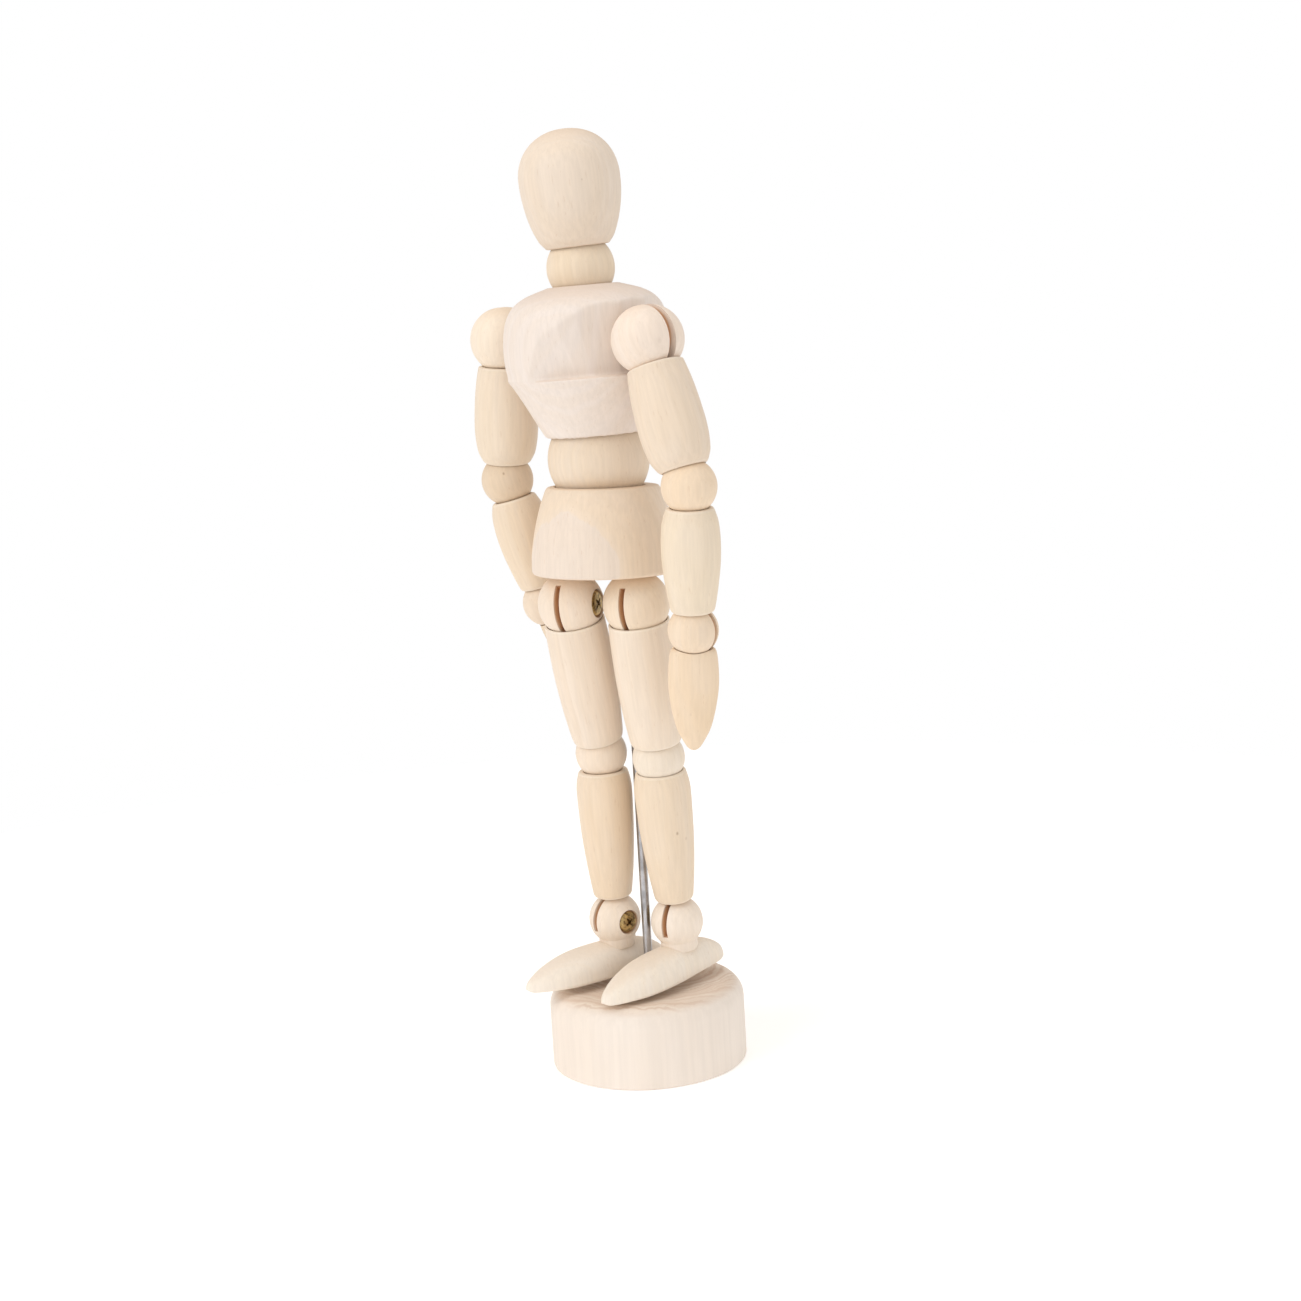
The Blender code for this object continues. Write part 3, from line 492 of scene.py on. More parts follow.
def brass_material(name):
    """Antique brass plating: brown in the hollows, brighter where it is rubbed."""
    g = Graph(name, 0.38, 1.0)
    seed = seed_of(name)
    cloud = g.noise(g.placed((1, 1, 1), seed), 1.6, 5.0, 0.6)
    fine = g.noise(g.placed((1, 1, 1), seed), 8.0, 3.0)
    colour = g.mix(g.remap(cloud, 0.38, 0.66), (0.62, 0.45, 0.20), (0.19, 0.125, 0.060))
    g.link(colour, g.shader.inputs["Base Color"])
    g.link(g.remap(fine, 0.3, 0.7, 0.30, 0.52), g.shader.inputs["Roughness"])
    g.bump(fine, 0.25, 0.00003)
    return g.material


# ---------------------------------------------------------------- shapes

def frame_at(origin, up, across=LEFTWARD):
    """A frame in millimetres: +Z along up, +X along across made square to it."""
    z = up.normalized()
    x = (across - across.dot(z) * z).normalized()
    return Matrix.Translation(origin) @ Matrix((x, z.cross(x), z)).transposed().to_4x4()


def in_metres(matrix):
    placed = matrix.copy()
    placed.translation = matrix.translation * MM
    return placed


def middle(node):
    """The mean of a CAD node's points, in millimetres."""
    points = NODES[node].data.vertices
    return sum((v.co for v in points), Vector()) / len(points) / MM


def width_angle(width, ball):
    """Degrees from a ball's pole to where its radius about the axis is width."""
    return math.degrees(math.asin(width / ball))


def height_angle(height, ball):
    """Degrees from a ball's pole to where it is height away from its centre."""
    return math.degrees(math.acos(height / ball))


def in_scene(made):
    bpy.context.scene.collection.objects.link(made)
    return made


def mesh_object(bm, name, where):
    bmesh.ops.recalc_face_normals(bm, faces=bm.faces)
    mesh = bpy.data.meshes.new(name)
    bm.to_mesh(mesh)
    bm.free()
    made = in_scene(bpy.data.objects.new(name, mesh))
    made.matrix_world = in_metres(where)
    return made


def as_mesh(thing):
    """A plain mesh of an object as its modifiers or bevel shape it."""
    graph = bpy.context.evaluated_depsgraph_get()
    return bpy.data.meshes.new_from_object(thing.evaluated_get(graph))


def applied(piece):
    """Turns the piece's modifiers into plain mesh."""
    bpy.context.view_layer.update()
    mesh = as_mesh(piece)
    piece.modifiers.clear()
    piece.data = mesh


def carve(piece, tools):
    """Cuts the tools out of the piece and removes them."""
    for tool in tools:
        cut = piece.modifiers.new(tool.name, "BOOLEAN")
        cut.operation = "DIFFERENCE"
        cut.object = tool
    applied(piece)
    for tool in tools:
        bpy.data.objects.remove(tool)


def soften(piece, voxel, passes):
    """Rounds the cut edges: an even remesh and a few smoothing passes."""
    remesh = piece.modifiers.new("even", "REMESH")
    remesh.mode = "VOXEL"
    remesh.voxel_size = voxel * MM
    smooth = piece.modifiers.new("soft", "SMOOTH")
    smooth.factor = 0.5
    smooth.iterations = passes
    applied(piece)


def done(piece, node, body, material):
    """Squares a finished piece to the world, gives it its look, and puts it in its CAD node's place."""
    piece.data.transform(piece.matrix_world.to_3x3().to_4x4())
    piece.matrix_world = Matrix.Translation(piece.matrix_world.translation)
    piece.data.materials.clear()
    piece.data.materials.append(material)
    piece.data.shade_smooth()
    piece.data.set_sharp_from_angle(angle=SMOOTH_ANGLE)
    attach(piece, body)
    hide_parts(node)


def spline(points, steps=5):
    """Points on a smooth curve through all the given ones."""
    ends = [points[0]] + list(points) + [points[-1]]
    out = []
    for four in zip(ends, ends[1:], ends[2:], ends[3:]):
        for i in range(steps):
            out.append(tuple(curve_value(i / steps, *values) for values in zip(*four)))
    out.append(tuple(points[-1]))
    return out


def curve_value(t, p, q, r, s):
    """Where a smooth curve through p, q, r and s is, a share t of the way from q to r."""
    bend = (2 * p - 5 * q + 4 * r - s) * t**2
    twist = (3 * q - p - 3 * r + s) * t**3
    return 0.5 * (2 * q + (r - p) * t + bend + twist)


def arc(radius, centre, start, end, steps):
    """(radius, height) points on a circle about (0, centre): angles in degrees up from -Z."""
    points = []
    for i in range(steps + 1):
        t = math.radians(start + (end - start) * i / steps)
        points.append((radius * math.sin(t), centre - radius * math.cos(t)))
    return points


def turned(profile, sides, turn=None, wobble=0.0, closed=False):
    """A turned solid about Z from (radius, height) points. wobble is how far it is off round, in mm.

    A closed profile runs back to its first point, so it makes a ring.
    """
    bm = bmesh.new()
    chain = [bm.verts.new((max(r, 0.0) * MM, 0.0, z * MM)) for r, z in profile]
    ahead = chain[1:] + chain[:1] if closed else chain[1:]
    links = [bm.edges.new(pair) for pair in zip(chain, ahead)]
    bmesh.ops.spin(
        bm, geom=chain + links, axis=(0, 0, 1), cent=(0, 0, 0), angle=2 * math.pi, steps=sides, use_merge=True
    )
    bmesh.ops.remove_doubles(bm, verts=bm.verts, dist=1e-6)
    if wobble:
        for v in bm.verts:
            out = Vector((v.co.x, v.co.y, 0))
            if out.length > 0.002:
                v.co += out.normalized() * noise.noise(v.co / MM * 0.17) * wobble * MM
    if turn:
        bmesh.ops.transform(bm, matrix=turn, verts=bm.verts)
    return bm


def rod_bm(radius, low, high, sides, turn=None):
    return turned([(0, low), (radius, low), (radius, high), (0, high)], sides, turn)


def ball_tool(radius, name, where, sides=BALL_SIDES):
    """A ball that cuts a round seat."""
    return mesh_object(turned(arc(radius, 0, 0, 180, sides // 2), sides), name, where)


def prism(outline, half_width):
    """A (y, z) outline made into a plate of the given half width along X."""
    bm = bmesh.new()
    near = [bm.verts.new((-half_width * MM, y * MM, z * MM)) for y, z in outline]
    face = bm.faces.new(near)
    moved = bmesh.ops.extrude_face_region(bm, geom=[face])["geom"]
    verts = [v for v in moved if isinstance(v, bmesh.types.BMVert)]
    bmesh.ops.translate(bm, verts=verts, vec=(2 * half_width * MM, 0, 0))
    return bm


def lofted(sections):
    """A closed skin through rings of equal point counts."""
    bm = bmesh.new()
    rings = [[bm.verts.new(Vector(p) * MM) for p in ring] for ring in sections]
    for one, two in zip(rings, rings[1:]):
        for i in range(len(one)):
            j = (i + 1) % len(one)
            bm.faces.new((one[i], one[j], two[j], two[i]))
    bm.faces.new(rings[0])
    bm.faces.new(rings[-1])
    return bm


def way(angle):
    t = math.radians(angle)
    return Vector((math.sin(t), -math.cos(t)))


def swept_slot(ball, limits):
    """Outline of the room that a link takes up as it turns between two angles."""
    half = LINK_HALF_WIDTH + SLOT_GAP
    low, high = limits
    reach = ball + 1.0
    points = [way(low) * reach + way(low - 90) * half]
    if high - low > 30:
        steps = round((high - low) / 10)
        points += [way(low + (high - low) * i / steps) * (reach + 0.4) for i in range(steps + 1)]
    points.append(way(high) * reach + way(high + 90) * half)
    points += [way(high + 90 + (180 - (high - low)) * i / 12) * half for i in range(13)]
    return points


def across_pin(side):
    """Turns +Z to the pin's end on the given side, 1 for +X and -1 for -X."""
    return Matrix.Rotation(side * math.pi / 2, 4, "Y")


# ---------------------------------------------------------------- pieces

def ball_profile(radius, peg, collar):
    """A ball with its peg, and a short collar of the given (radius, depth) round the peg if it has one."""
    tip = radius + peg
    widest = collar[0] if collar else PEG_RADIUS
    profile = arc(radius, 0, 0, 180 - width_angle(widest, radius), BALL_SIDES // 2)
    if collar:
        reach, depth = collar
        profile += [(reach, depth - 0.25), (reach - 0.12, depth), (PEG_RADIUS, depth)]
    return profile + [(PEG_RADIUS, tip), (0, tip)]


def screw_face(ball, head):
    """How far from the ball's centre the edge of its screw's face is."""
    return math.sqrt(ball**2 - (head + 0.2) ** 2) - 0.05


def recess_tool(ball, head, side, where):
    """What cuts the countersunk room for a screw's head."""
    face = screw_face(ball, head)
    under = face - SCREW_HEAD_THICKNESS - 0.15
    wall = [(0, under), (head + 0.15, under), (head + 0.2, face - 0.25), (head + 0.45, ball), (0, ball)]
    return mesh_object(turned(wall, 40, across_pin(side)), "recess_tool", where)


def make_ball(
    node, body, radius, where, peg_way, limits,
    peg=BALL_PEG, entry=0, screw=None, spread=0.0, sink=0.0, collar=None, slot=SLOT_WIDTH,
):
    """A ball with its peg, the slot for its link, and the hole for its pin or the room for its screw.

    entry is the side that the pin goes in from, and screw the (side, head radius) of a screw. spread moves
    the ball's two halves apart along the pin, and sink lowers it, both in mm.
    """
    local = where.to_3x3().inverted() @ peg_way
    turn = Vector((0, 0, 1)).rotation_difference(local).to_matrix().to_4x4()
    bm = turned(ball_profile(radius, peg, collar), BALL_SIDES, turn)
    for v in bm.verts:
        v.co.x += spread * MM * max(-1.0, min(1.0, v.co.x / MM / 1.2))
        v.co.z -= sink * MM
    piece = mesh_object(bm, node + "_wood", where)
    tools = [mesh_object(prism(swept_slot(radius, limits), slot / 2), "slot_tool", where)]
    if entry:
        hole = rod_bm(PIN_RADIUS + 0.1, 0, radius + 1, 24, across_pin(entry))
        tools.append(mesh_object(hole, "hole_tool", where))
    if screw:
        side, head = screw
        tools.append(recess_tool(radius, head, side, where))
    carve(piece, tools)
    done(piece, node, body, wood_material(node, where, slot_shade_radius=radius - sink))


def make_limb(node, where, length, outline, upper, lower):
    """A turned limb: smooth barrel, softly rounded rims, and a hollow seat for the ball at each end.

    upper and lower are each (ball radius, distance of the rim from the ball's centre, depth of the bore).
    """
    ball_a, rim_a, bore_a = upper
    ball_b, rim_b, bore_b = lower
    span = length - rim_a - rim_b
    seat_a = ball_a + SEAT_GAP
    seat_b = ball_b + SEAT_GAP
    end_a = -(ball_a + bore_a)
    end_b = -length + ball_b + bore_b
    profile = [(0, end_a), (BORE_RADIUS, end_a)]
    profile += arc(seat_a, 0, width_angle(BORE_RADIUS, seat_a), height_angle(rim_a, seat_a), 10)
    profile += spline([(r * LIMB_EASE, -rim_a - span * s) for r, s in outline], 6)
    mouth_b = 180 - height_angle(rim_b, seat_b)
    profile += arc(seat_b, -length, mouth_b, 180 - width_angle(BORE_RADIUS, seat_b), 10)
    profile += [(BORE_RADIUS, end_b), (0, end_b)]
    piece = mesh_object(turned(profile, LIMB_SIDES, wobble=0.03), node + "_wood", where)
    done(piece, node, node, wood_material(node, where, rims=(-rim_a, rim_b - length)))


def make_screw(node, body, ball, head, where, side):
    """A cross-head screw: shallow dome, chamfered rim, and a tapered cross recess."""
    face = screw_face(ball, head)
    under = face - SCREW_HEAD_THICKNESS
    end = 1.2 - ball
    dome = [(head - 0.22, face - 0.06), (head * 0.72, face + 0.03), (head * 0.4, face + 0.09)]
    dome.append((0, face + 0.12))
    profile = [(0, end), (SCREW_SHANK, end), (SCREW_SHANK, under), (head - 0.1, under), (head, under + 0.1)]
    profile += [(head, face - 0.28)] + spline(dome, 4)
    turn = across_pin(side)
    piece = mesh_object(turned(profile, 56, turn), node + "_brass", where)
    wide = 0.62 * head
    notch = [(-wide, face + 0.5), (wide, face + 0.5), (0.24, face - 0.75), (-0.24, face - 0.75)]
    tools = []
    for quarter in range(2):
        arms = prism(notch, CROSS_HALF_WIDTH)
        spin = turn @ Matrix.Rotation(math.radians(CROSS_TURN + 90 * quarter), 4, "Z")
        bmesh.ops.transform(arms, matrix=spin, verts=arms.verts)
        tools.append(mesh_object(arms, f"cross_tool_{quarter}", where))
    carve(piece, tools)
    done(piece, node, body, brass_material(node + "_plating"))


def make_hand(node, where, twist):
    """A flat tapering paddle, turned about its length by twist degrees."""
    rings = []
    for down, wide, thick in spline(HAND_STATIONS, 4):
        ring = []
        for i in range(HAND_SIDES):
            t = 2 * math.pi * i / HAND_SIDES
            flat = abs(math.sin(t)) ** 0.82 * math.copysign(1, math.sin(t))
            ring.append((wide * math.cos(t), thick * flat, -down))
        rings.append(ring)
    paddle = lofted(rings)
    bmesh.ops.transform(paddle, matrix=Matrix.Rotation(math.radians(twist), 4, "Z"), verts=paddle.verts)
    piece = mesh_object(paddle, node + "_wood", where)
    carve(piece, [ball_tool(WRIST_BALL + SEAT_GAP, "seat_tool", where)])
    done(piece, node, node, wood_material(node, where))


def make_foot(node, where):
    """A wedge with a flat sole and a rounded top."""
    rings = []
    for ahead, wide, low, high in spline(FOOT_STATIONS, 4):
        rise = high - low
        ring = []
        for across, up in ((-0.80, 0.0), (-0.4, 0.0), (0.0, 0.0), (0.4, 0.0), (0.80, 0.0), (0.93, 0.03)):
            ring.append((wide * across, -ahead, low + rise * up))
        for i in range(21):
            t = math.pi * i / 20
            ring.append((wide * math.cos(t), -ahead, low + rise * (0.12 + 0.88 * math.sin(t) ** 0.8)))
        ring.append((-wide * 0.93, -ahead, low + rise * 0.03))
        rings.append(ring)
    piece = mesh_object(lofted(rings), node + "_wood", where)
    carve(piece, [ball_tool(ANKLE_BALL + SEAT_GAP, "seat_tool", where)])
    done(piece, node, node, wood_material(node, where))


def make_base():
    profile = [(0, 0), (BASE_RADIUS - 0.35, 0), (BASE_RADIUS - 0.08, 0.12), (BASE_RADIUS, 0.4)]
    for i in range(13):
        t = math.pi / 2 * i / 12
        across = BASE_RADIUS - BASE_EDGE * (1 - math.cos(t))
        profile.append((across, BASE_HEIGHT - BASE_EDGE * (1 - math.sin(t))))
    profile += [(r, BASE_HEIGHT - 0.06 * (r / 12) ** 2) for r in (10.5, 8, 5.5, 3.5, 2.0, 1.2)]
    profile.append((0, BASE_HEIGHT))
    piece = mesh_object(turned(profile, 144), "base_wood", Matrix.Translation(BASE_OFFSET))
    hole = rod_bm(ROD_RADIUS + 0.14, ROD_BOTTOM - 0.3, BASE_HEIGHT + 1, 40)
    carve(piece, [mesh_object(hole, "rod_tool", WORLD)])
    done(piece, "base", "stand", base_material())


def make_rod():
    chamfer = 0.2
    profile = [(0, ROD_BOTTOM), (ROD_RADIUS, ROD_BOTTOM), (ROD_RADIUS, ROD_TOP - chamfer)]
    profile += [(ROD_RADIUS - chamfer, ROD_TOP), (0, ROD_TOP)]
    piece = mesh_object(turned(profile, 40), "support_rod_steel", WORLD)
    steel = steel_material("rod_steel", WORLD, (0.52, 0.52, 0.54), 0.28)
    done(piece, "support_rod", "stand", steel)


def make_pelvis():
    up = JOINTS["right_hip_turn"][1]
    hips = {side: JOINTS[side + "_hip_swing"][0] for side in ("right", "left")}
    low, high = (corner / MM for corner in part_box("pelvis"))
    tilt = math.sqrt(1 - up.z**2) * PELVIS_RADIUS
    foot = Vector(((low.x + high.x) / 2, (low.y + high.y) / 2, low.z + tilt))
    where = frame_at(foot, up, hips["left"] - hips["right"])
    profile = [(0, 0), (5, 0)] + spline(PELVIS_OUTLINE, 5) + [(7.3, PELVIS_HEIGHT), (0, PELVIS_HEIGHT)]
    piece = mesh_object(turned(profile, TRUNK_SIDES, wobble=0.06), "pelvis_wood", where)
    waist = frame_at(JOINTS["waist_turn"][0], up)
    tools = [ball_tool(WAIST_BALL + 0.35, "waist_seat_tool", waist, 96)]
    tools.append(mesh_object(rod_bm(3.1, -8.9, 0, 48), "waist_bore_tool", waist))
    for side, hip in hips.items():
        tools.append(ball_tool(HIP_BALL + SEAT_GAP, "hip_seat_tool_" + side, frame_at(hip, up)))
    tools.append(mesh_object(rod_bm(ROD_RADIUS + 0.2, 60, ROD_TOP + 0.3, 32), "rod_hole_tool", WORLD))
    carve(piece, tools)
    material = wood_material("pelvis", where, ring_turn=-9.5, ring_edge=9.15, blush=0.15, pith=6.3)
    done(piece, "pelvis", "pelvis", material)


def bored_ball(node, body, radius, where, bore, throat, sides):
    """A ball with an hourglass bore from top to bottom for its spring."""
    inner = width_angle(bore, radius)
    top = math.sqrt(radius**2 - bore**2)
    profile = arc(radius, 0, inner + 1.5, 178.5 - inner, 34) + [(bore, top)]
    for k in range(6, -7, -1):
        profile.append((throat + (bore - throat) * abs(k / 6) ** 1.2, top * k / 6 * 0.97))
    profile.append((bore, -top))
    piece = mesh_object(turned(profile, sides, closed=True), node + "_wood", where)
    done(piece, node, body, wood_material(node, where, blush=0.6))


def make_spring(node, body, radius, half_length, wire, where):
    """A close-wound tension spring: wire is its wire's radius."""
    pitch = wire * 2.15
    points = int(2 * half_length / pitch) * 20
    curve = bpy.data.curves.new(node, "CURVE")
    curve.dimensions = "3D"
    line = curve.splines.new("POLY")
    line.points.add(points)
    for i, point in enumerate(line.points):
        t = 2 * math.pi * i / 20
        z = -half_length + wire + (2 * half_length - 2 * wire) * i / points
        reach = radius - wire
        point.co = (reach * math.cos(t) * MM, reach * math.sin(t) * MM, z * MM, 1)
    curve.bevel_depth = wire * MM
    curve.bevel_resolution = 2
    curve.use_fill_caps = True
    coil = in_scene(bpy.data.objects.new(node + "_coil_curve", curve))
    mesh = as_mesh(coil)
    bpy.data.objects.remove(coil)
    piece = in_scene(bpy.data.objects.new(node + "_coil", mesh))
    piece.matrix_world = in_metres(where)
    done(piece, node, body, steel_material(node + "_steel", where, (0.50, 0.50, 0.51), 0.30))


def chest_profile(neck_height):
    """The chest turned about its axis, with its waist seat and bore below and its neck's above."""
    seat = WAIST_BALL + 0.4
    bore = 3.2
    depth = -CHEST_BELOW_RIM + 9.0
    mouth = 180 - height_angle(CHEST_BELOW_RIM, seat)
    profile = [(0, depth), (bore, depth)]
    profile += reversed(arc(seat, -CHEST_BELOW_RIM, mouth, 180 - width_angle(bore, seat), 12))
    profile += spline(CHEST_OUTLINE, 5)
    seat = NECK_BALL + NECK_SEAT_GAP
    mouth = height_angle(neck_height - CHEST_HEIGHT, seat)
    profile += arc(seat, neck_height, mouth, width_angle(NECK_BORE, seat), 10)
    return profile + [(NECK_BORE, neck_height - 6.6), (0, neck_height - 6.6)]


def flat_tools(side, where):
    """What cuts the sanded flats round one side of the chest."""
    sign = 1 if side == "left" else -1
    tools = []
    for i, (degrees, distance, lean) in enumerate(CHEST_FLATS[side]):
        low = distance - lean * (FLAT_MIDDLE - RIDGE_HEIGHT)
        high = distance + lean * (FLAT_TOP - FLAT_MIDDLE)
        outline = [(-low, RIDGE_HEIGHT), (-16, RIDGE_HEIGHT), (-17, FLAT_TOP), (-high, FLAT_TOP)]
        turn = Matrix.Rotation(sign * math.radians(degrees), 4, "Z")
        tools.append(mesh_object(prism(outline, 14.0), f"facet_tool_{side}_{i}", where @ turn))
    return tools


def make_chest():
    waist, up = JOINTS["waist_turn"]
    rim = waist + up * CHEST_BELOW_RIM
    where = frame_at(rim, up)
    profile = chest_profile((JOINTS["neck_turn"][0] - rim).dot(up))
    piece = mesh_object(turned(profile, TRUNK_SIDES, wobble=0.05), "chest_wood", where)
    tools = []
    for side in ("right", "left"):
        tools += flat_tools(side, where)
        shoulder = frame_at(JOINTS[side + "_shoulder_swing"][0], up)
        tools.append(ball_tool(SHOULDER_BALL + SEAT_GAP, "pocket_tool_" + side, shoulder))
    carve(piece, tools)
    soften(piece, 0.22, 6)
    done(piece, "chest", "chest", wood_material("chest", where, ring_turn=25.0, blush=0.4))


def make_head():
    neck, up = JOINTS["neck_turn"]
    where = frame_at(neck, up)
    seat = NECK_BALL + NECK_SEAT_GAP
    mouth = 180 - height_angle(HEAD_BELOW_RIM, seat)
    profile = [(0, 6.6), (NECK_BORE, 6.6)]
    profile += reversed(arc(seat, 0, mouth, 180 - width_angle(NECK_BORE, seat), 10))
    jaw = [(4.15, HEAD_BELOW_RIM), (4.42, HEAD_BELOW_RIM + 0.1), (4.68, HEAD_BELOW_RIM + 0.4)]
    for k in range(8):
        height = HEAD_BELOW_RIM + 1.0 + (HEAD_WIDEST - HEAD_BELOW_RIM - 1.0) * k / 8
        jaw.append((HEAD_RADIUS * math.sqrt(1 - ((HEAD_WIDEST - height) / HEAD_JAW) ** 2), height))
    profile += spline(jaw, 3)
    for i in range(25):
        t = math.pi / 2 * i / 25
        profile.append((HEAD_RADIUS * math.cos(t) ** 0.93, HEAD_WIDEST + HEAD_DOME * math.sin(t) ** 0.93))
    profile.append((0, HEAD_WIDEST + HEAD_DOME))
    piece = mesh_object(turned(profile, TRUNK_SIDES, wobble=0.05), "head_wood", where)
    done(piece, "head", "head", wood_material("head", where, ring_turn=40.0, blush=0.7))


def make_trunk():
    make_pelvis()
    where = frame_at(*JOINTS["waist_turn"])
    make_spring("waist_spring", "waist_core", 1.0, 8.4, 0.2, where)
    bored_ball("waist_ball", "waist", WAIST_BALL, where, 2.9, 1.4, 88)
    make_chest()
    where = frame_at(*JOINTS["neck_turn"])
    make_spring("neck_spring", "neck_core", 0.75, 6.1, 0.16, where)
    bored_ball("neck_ball", "neck", NECK_BALL, where, 2.1, 1.1, 64)
    make_head()


def back_end(pin):
    return 1 if pin.y > 0 else -1


def make_arm(side):
    outward = JOINTS[side + "_shoulder_swing"][1] * (1 if side == "left" else -1)
    shoulder, shoulder_pin = JOINTS[side + "_shoulder_raise"]
    elbow, elbow_pin = JOINTS[side + "_elbow_bend"]
    wrist, wrist_pin = JOINTS[side + "_wrist_bend"]
    upper_way = (elbow - shoulder).normalized()
    lower_way = (wrist - elbow).normalized()

    where = frame_at(shoulder, -upper_way, shoulder_pin)
    trimmed = SHOULDER_BALL - SHOULDER_TRIM
    make_ball(
        side + "_shoulder_ball", side + "_shoulder", trimmed, where, -outward, SHOULDER_SLOT,
        entry=back_end(shoulder_pin),
        spread=SHOULDER_SPREAD,
        sink=SHOULDER_SINK[side],
        slot=SHOULDER_SLOT_WIDTH,
    )
    upper = (SHOULDER_BALL, 4.0, LINK_BORE)
    lower = (ELBOW_BALL, 2.5, PEG_BORE)
    make_limb(side + "_upper_arm", where, (elbow - shoulder).length, UPPER_ARM_OUTLINE, upper, lower)

    where = frame_at(elbow, -lower_way, elbow_pin)
    make_ball(
        side + "_elbow_ball", side + "_elbow", ELBOW_BALL, where, -upper_way, ELBOW_SLOTS[side],
        entry=back_end(elbow_pin),
    )
    upper = (ELBOW_BALL, 2.85, LINK_BORE)
    lower = (WRIST_BALL, 2.6, PEG_BORE)
    make_limb(side + "_forearm", where, (wrist - elbow).length, FOREARM_OUTLINE, upper, lower)

    where = frame_at(wrist, wrist - middle(side + "_hand"), wrist_pin)
    make_ball(
        side + "_wrist_ball", side + "_wrist", WRIST_BALL, where, -lower_way, WRIST_SLOTS[side],
        entry=back_end(wrist_pin),
    )
    make_hand(side + "_hand", where, HAND_TWIST[side])


def make_leg(side):
    inward = 1 if side == "left" else -1
    up = JOINTS[side + "_hip_turn"][1]
    hip, hip_pin = JOINTS[side + "_hip_swing"]
    knee, knee_pin = JOINTS[side + "_knee_bend"]
    ankle, ankle_pin = JOINTS[side + "_ankle_bend"]
    foot_up = JOINTS[side + "_foot_turn"][1]
    thigh_way = (knee - hip).normalized()
    shin_way = (ankle - knee).normalized()

    where = frame_at(hip, -thigh_way, hip_pin)
    make_ball(
        side + "_hip_ball", side + "_hip", HIP_BALL, where, up, HIP_SLOTS[side],
        screw=(inward, HIP_SCREW_HEAD),
    )
    make_screw(side + "_hip_screw", side + "_hip", HIP_BALL, HIP_SCREW_HEAD, where, inward)
    upper = (HIP_BALL, 2.6, LINK_BORE)
    lower = (KNEE_BALL, 2.3, PEG_BORE)
    make_limb(side + "_thigh", where, (knee - hip).length, THIGH_OUTLINE, upper, lower)

    where = frame_at(knee, -shin_way, knee_pin)
    make_ball(side + "_knee_ball", side + "_thigh", KNEE_BALL, where, -thigh_way, KNEE_SLOT, entry=-1)
    upper = (KNEE_BALL, SHIN_RIMS[side], LINK_BORE)
    lower = (ANKLE_BALL, 3.6, LINK_BORE)
    make_limb(side + "_shin", where, (ankle - knee).length, SHIN_OUTLINE, upper, lower)

    where = frame_at(ankle, shin_way, ankle_pin)
    make_ball(
        side + "_ankle_ball", side + "_ankle", ANKLE_BALL, where, -foot_up, ANKLE_SLOT,
        peg=FOOT_PEG, collar=ANKLE_COLLAR, screw=(inward, ANKLE_SCREW_HEAD),
    )
    make_screw(side + "_ankle_screw", side + "_ankle", ANKLE_BALL, ANKLE_SCREW_HEAD, where, inward)
    across = foot_up.cross(middle(side + "_foot") - ankle)
    lift = Matrix.Rotation(math.radians(FOOT_LIFT[side]), 4, "X")
    make_foot(side + "_foot", frame_at(ankle, foot_up, across) @ lift)


def dress_steel_nodes():
    """The links and pins keep their CAD shapes."""
    links = steel_material("link_steel", WORLD, (0.46, 0.45, 0.44), 0.36)
    pins = steel_material("pin_steel", WORLD, (0.42, 0.41, 0.40), 0.34)
    for name, node in NODES.items():
        if name.endswith(("_link", "_pin")):
            node.data.materials.clear()
            node.data.materials.append(links if name.endswith("_link") else pins)


# ---------------------------------------------------------------- surroundings

def back_from(turn, rise):
    """The way from the figure to a camera or light at a turn from the front and a rise, in degrees."""
    t = math.radians(turn)
    r = math.radians(rise)
    return Vector((math.sin(t) * math.cos(r), -math.cos(t) * math.cos(r), math.sin(r)))


def make_camera():
    turn = math.radians(CAMERA_TURN)
    roll = math.radians(CAMERA_ROLL)
    back = back_from(CAMERA_TURN, CAMERA_RISE)
    right = Vector((math.cos(turn), math.sin(turn), 0))
    above = back.cross(right)
    across = right * math.cos(roll) - above * math.sin(roll)
    upward = above * math.cos(roll) + right * math.sin(roll)
    camera = in_scene(bpy.data.objects.new("camera", bpy.data.cameras.new("camera")))
    placed = Matrix((across, upward, back)).transposed().to_4x4()
    placed.translation = CAMERA_TARGET + back * CAMERA_AWAY
    camera.matrix_world = placed
    camera.data.lens = LENS
    camera.data.sensor_width = 36
    camera.data.clip_start = 0.005
    bpy.context.scene.camera = camera


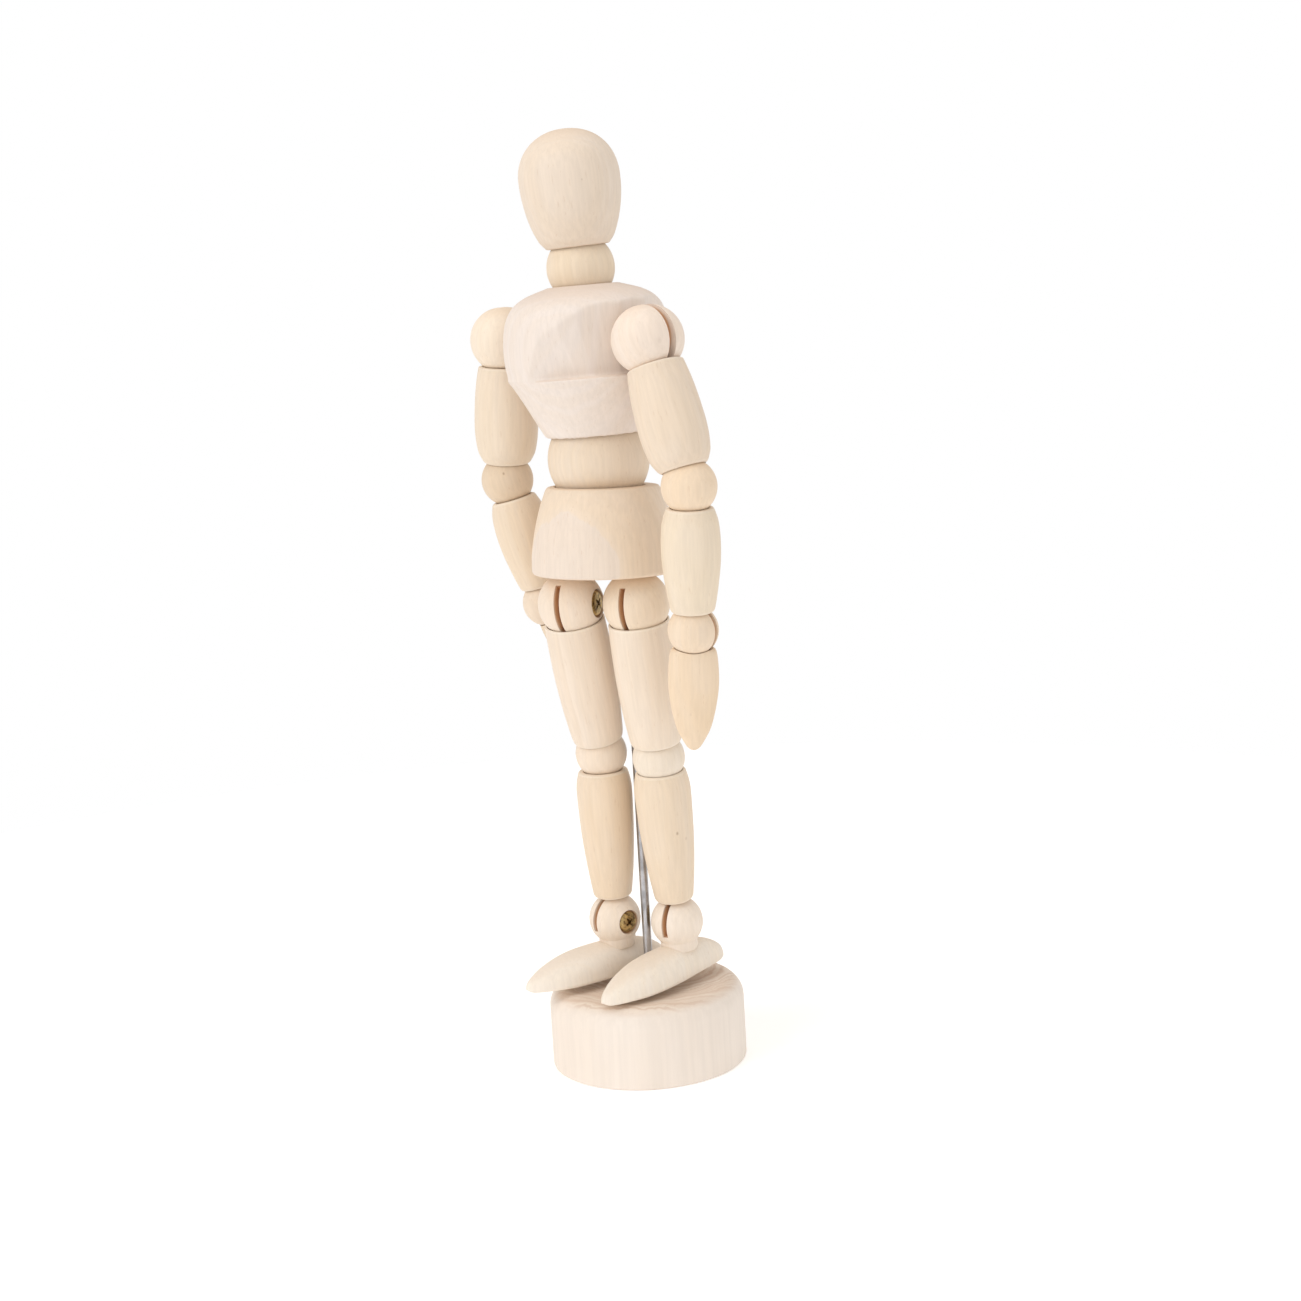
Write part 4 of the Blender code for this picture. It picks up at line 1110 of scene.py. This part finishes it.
def make_floor():
    bm = bmesh.new()
    bmesh.ops.create_circle(bm, cap_ends=True, radius=0.24, segments=96)
    floor = mesh_object(bm, "floor", WORLD)
    g = Graph("floor_white", 0.8)
    g.shader.inputs["Specular IOR Level"].default_value = 0.1
    cloud = g.noise(g.placed((1, 1, 1)), 0.01, 2.0)
    g.link(g.mix(cloud, (0.90, 0.90, 0.90), (0.91, 0.91, 0.91)), g.shader.inputs["Base Color"])
    g.shader.inputs["Emission Color"].default_value = (1, 1, 1, 1)
    g.shader.inputs["Emission Strength"].default_value = 0.3
    floor.data.materials.append(g.material)


def make_light(name, turn, rise, away, size, power):
    """A round area light aimed at the figure's middle, from a turn and a rise in degrees."""
    back = back_from(turn, rise)
    lamp = in_scene(bpy.data.objects.new(name, bpy.data.lights.new(name, "AREA")))
    lamp.data.shape = "DISK"
    lamp.data.size = size
    lamp.data.energy = power
    lamp.location = CAMERA_TARGET + back * away
    lamp.rotation_euler = back.to_track_quat("Z", "Y").to_euler()


def make_world():
    """White round the horizon, and a dimmer warm tone above and below."""
    world = bpy.data.worlds.new("studio")
    bpy.context.scene.world = world
    world.use_nodes = True
    tree = world.node_tree
    where = tree.nodes.new("ShaderNodeTexCoord")
    split = tree.nodes.new("ShaderNodeSeparateXYZ")
    tree.links.new(where.outputs["Generated"], split.inputs[0])
    level = tree.nodes.new("ShaderNodeMath")
    level.operation = "ABSOLUTE"
    tree.links.new(split.outputs[2], level.inputs[0])
    sky = tree.nodes.new("ShaderNodeMapRange")
    sky.interpolation_type = "SMOOTHSTEP"
    for key, value in (("From Min", 0.22), ("From Max", 0.42), ("To Min", 1.0), ("To Max", 0.57)):
        sky.inputs[key].default_value = value
    tree.links.new(level.outputs[0], sky.inputs["Value"])
    warm = tree.nodes.new("ShaderNodeMix")
    warm.data_type = "RGBA"
    tree.links.new(sky.outputs[0], warm.inputs[0])
    warm.inputs[6].default_value = (1.0, 0.84, 0.68, 1)
    warm.inputs[7].default_value = (1.0, 1.0, 1.0, 1)
    tree.links.new(warm.outputs[2], tree.nodes["Background"].inputs["Color"])
    tree.links.new(sky.outputs[0], tree.nodes["Background"].inputs["Strength"])


def make_surroundings():
    bpy.context.scene.view_settings.view_transform = "Standard"
    make_world()
    make_floor()
    make_light("key", -12, 35, 0.9, 0.6, 2.5)
    make_light("overhead", 60, 80, 1.0, 0.9, 3.0)


make_camera()
make_surroundings()
make_base()
make_rod()
make_trunk()
for side in ("right", "left"):
    make_arm(side)
    make_leg(side)
dress_steel_nodes()
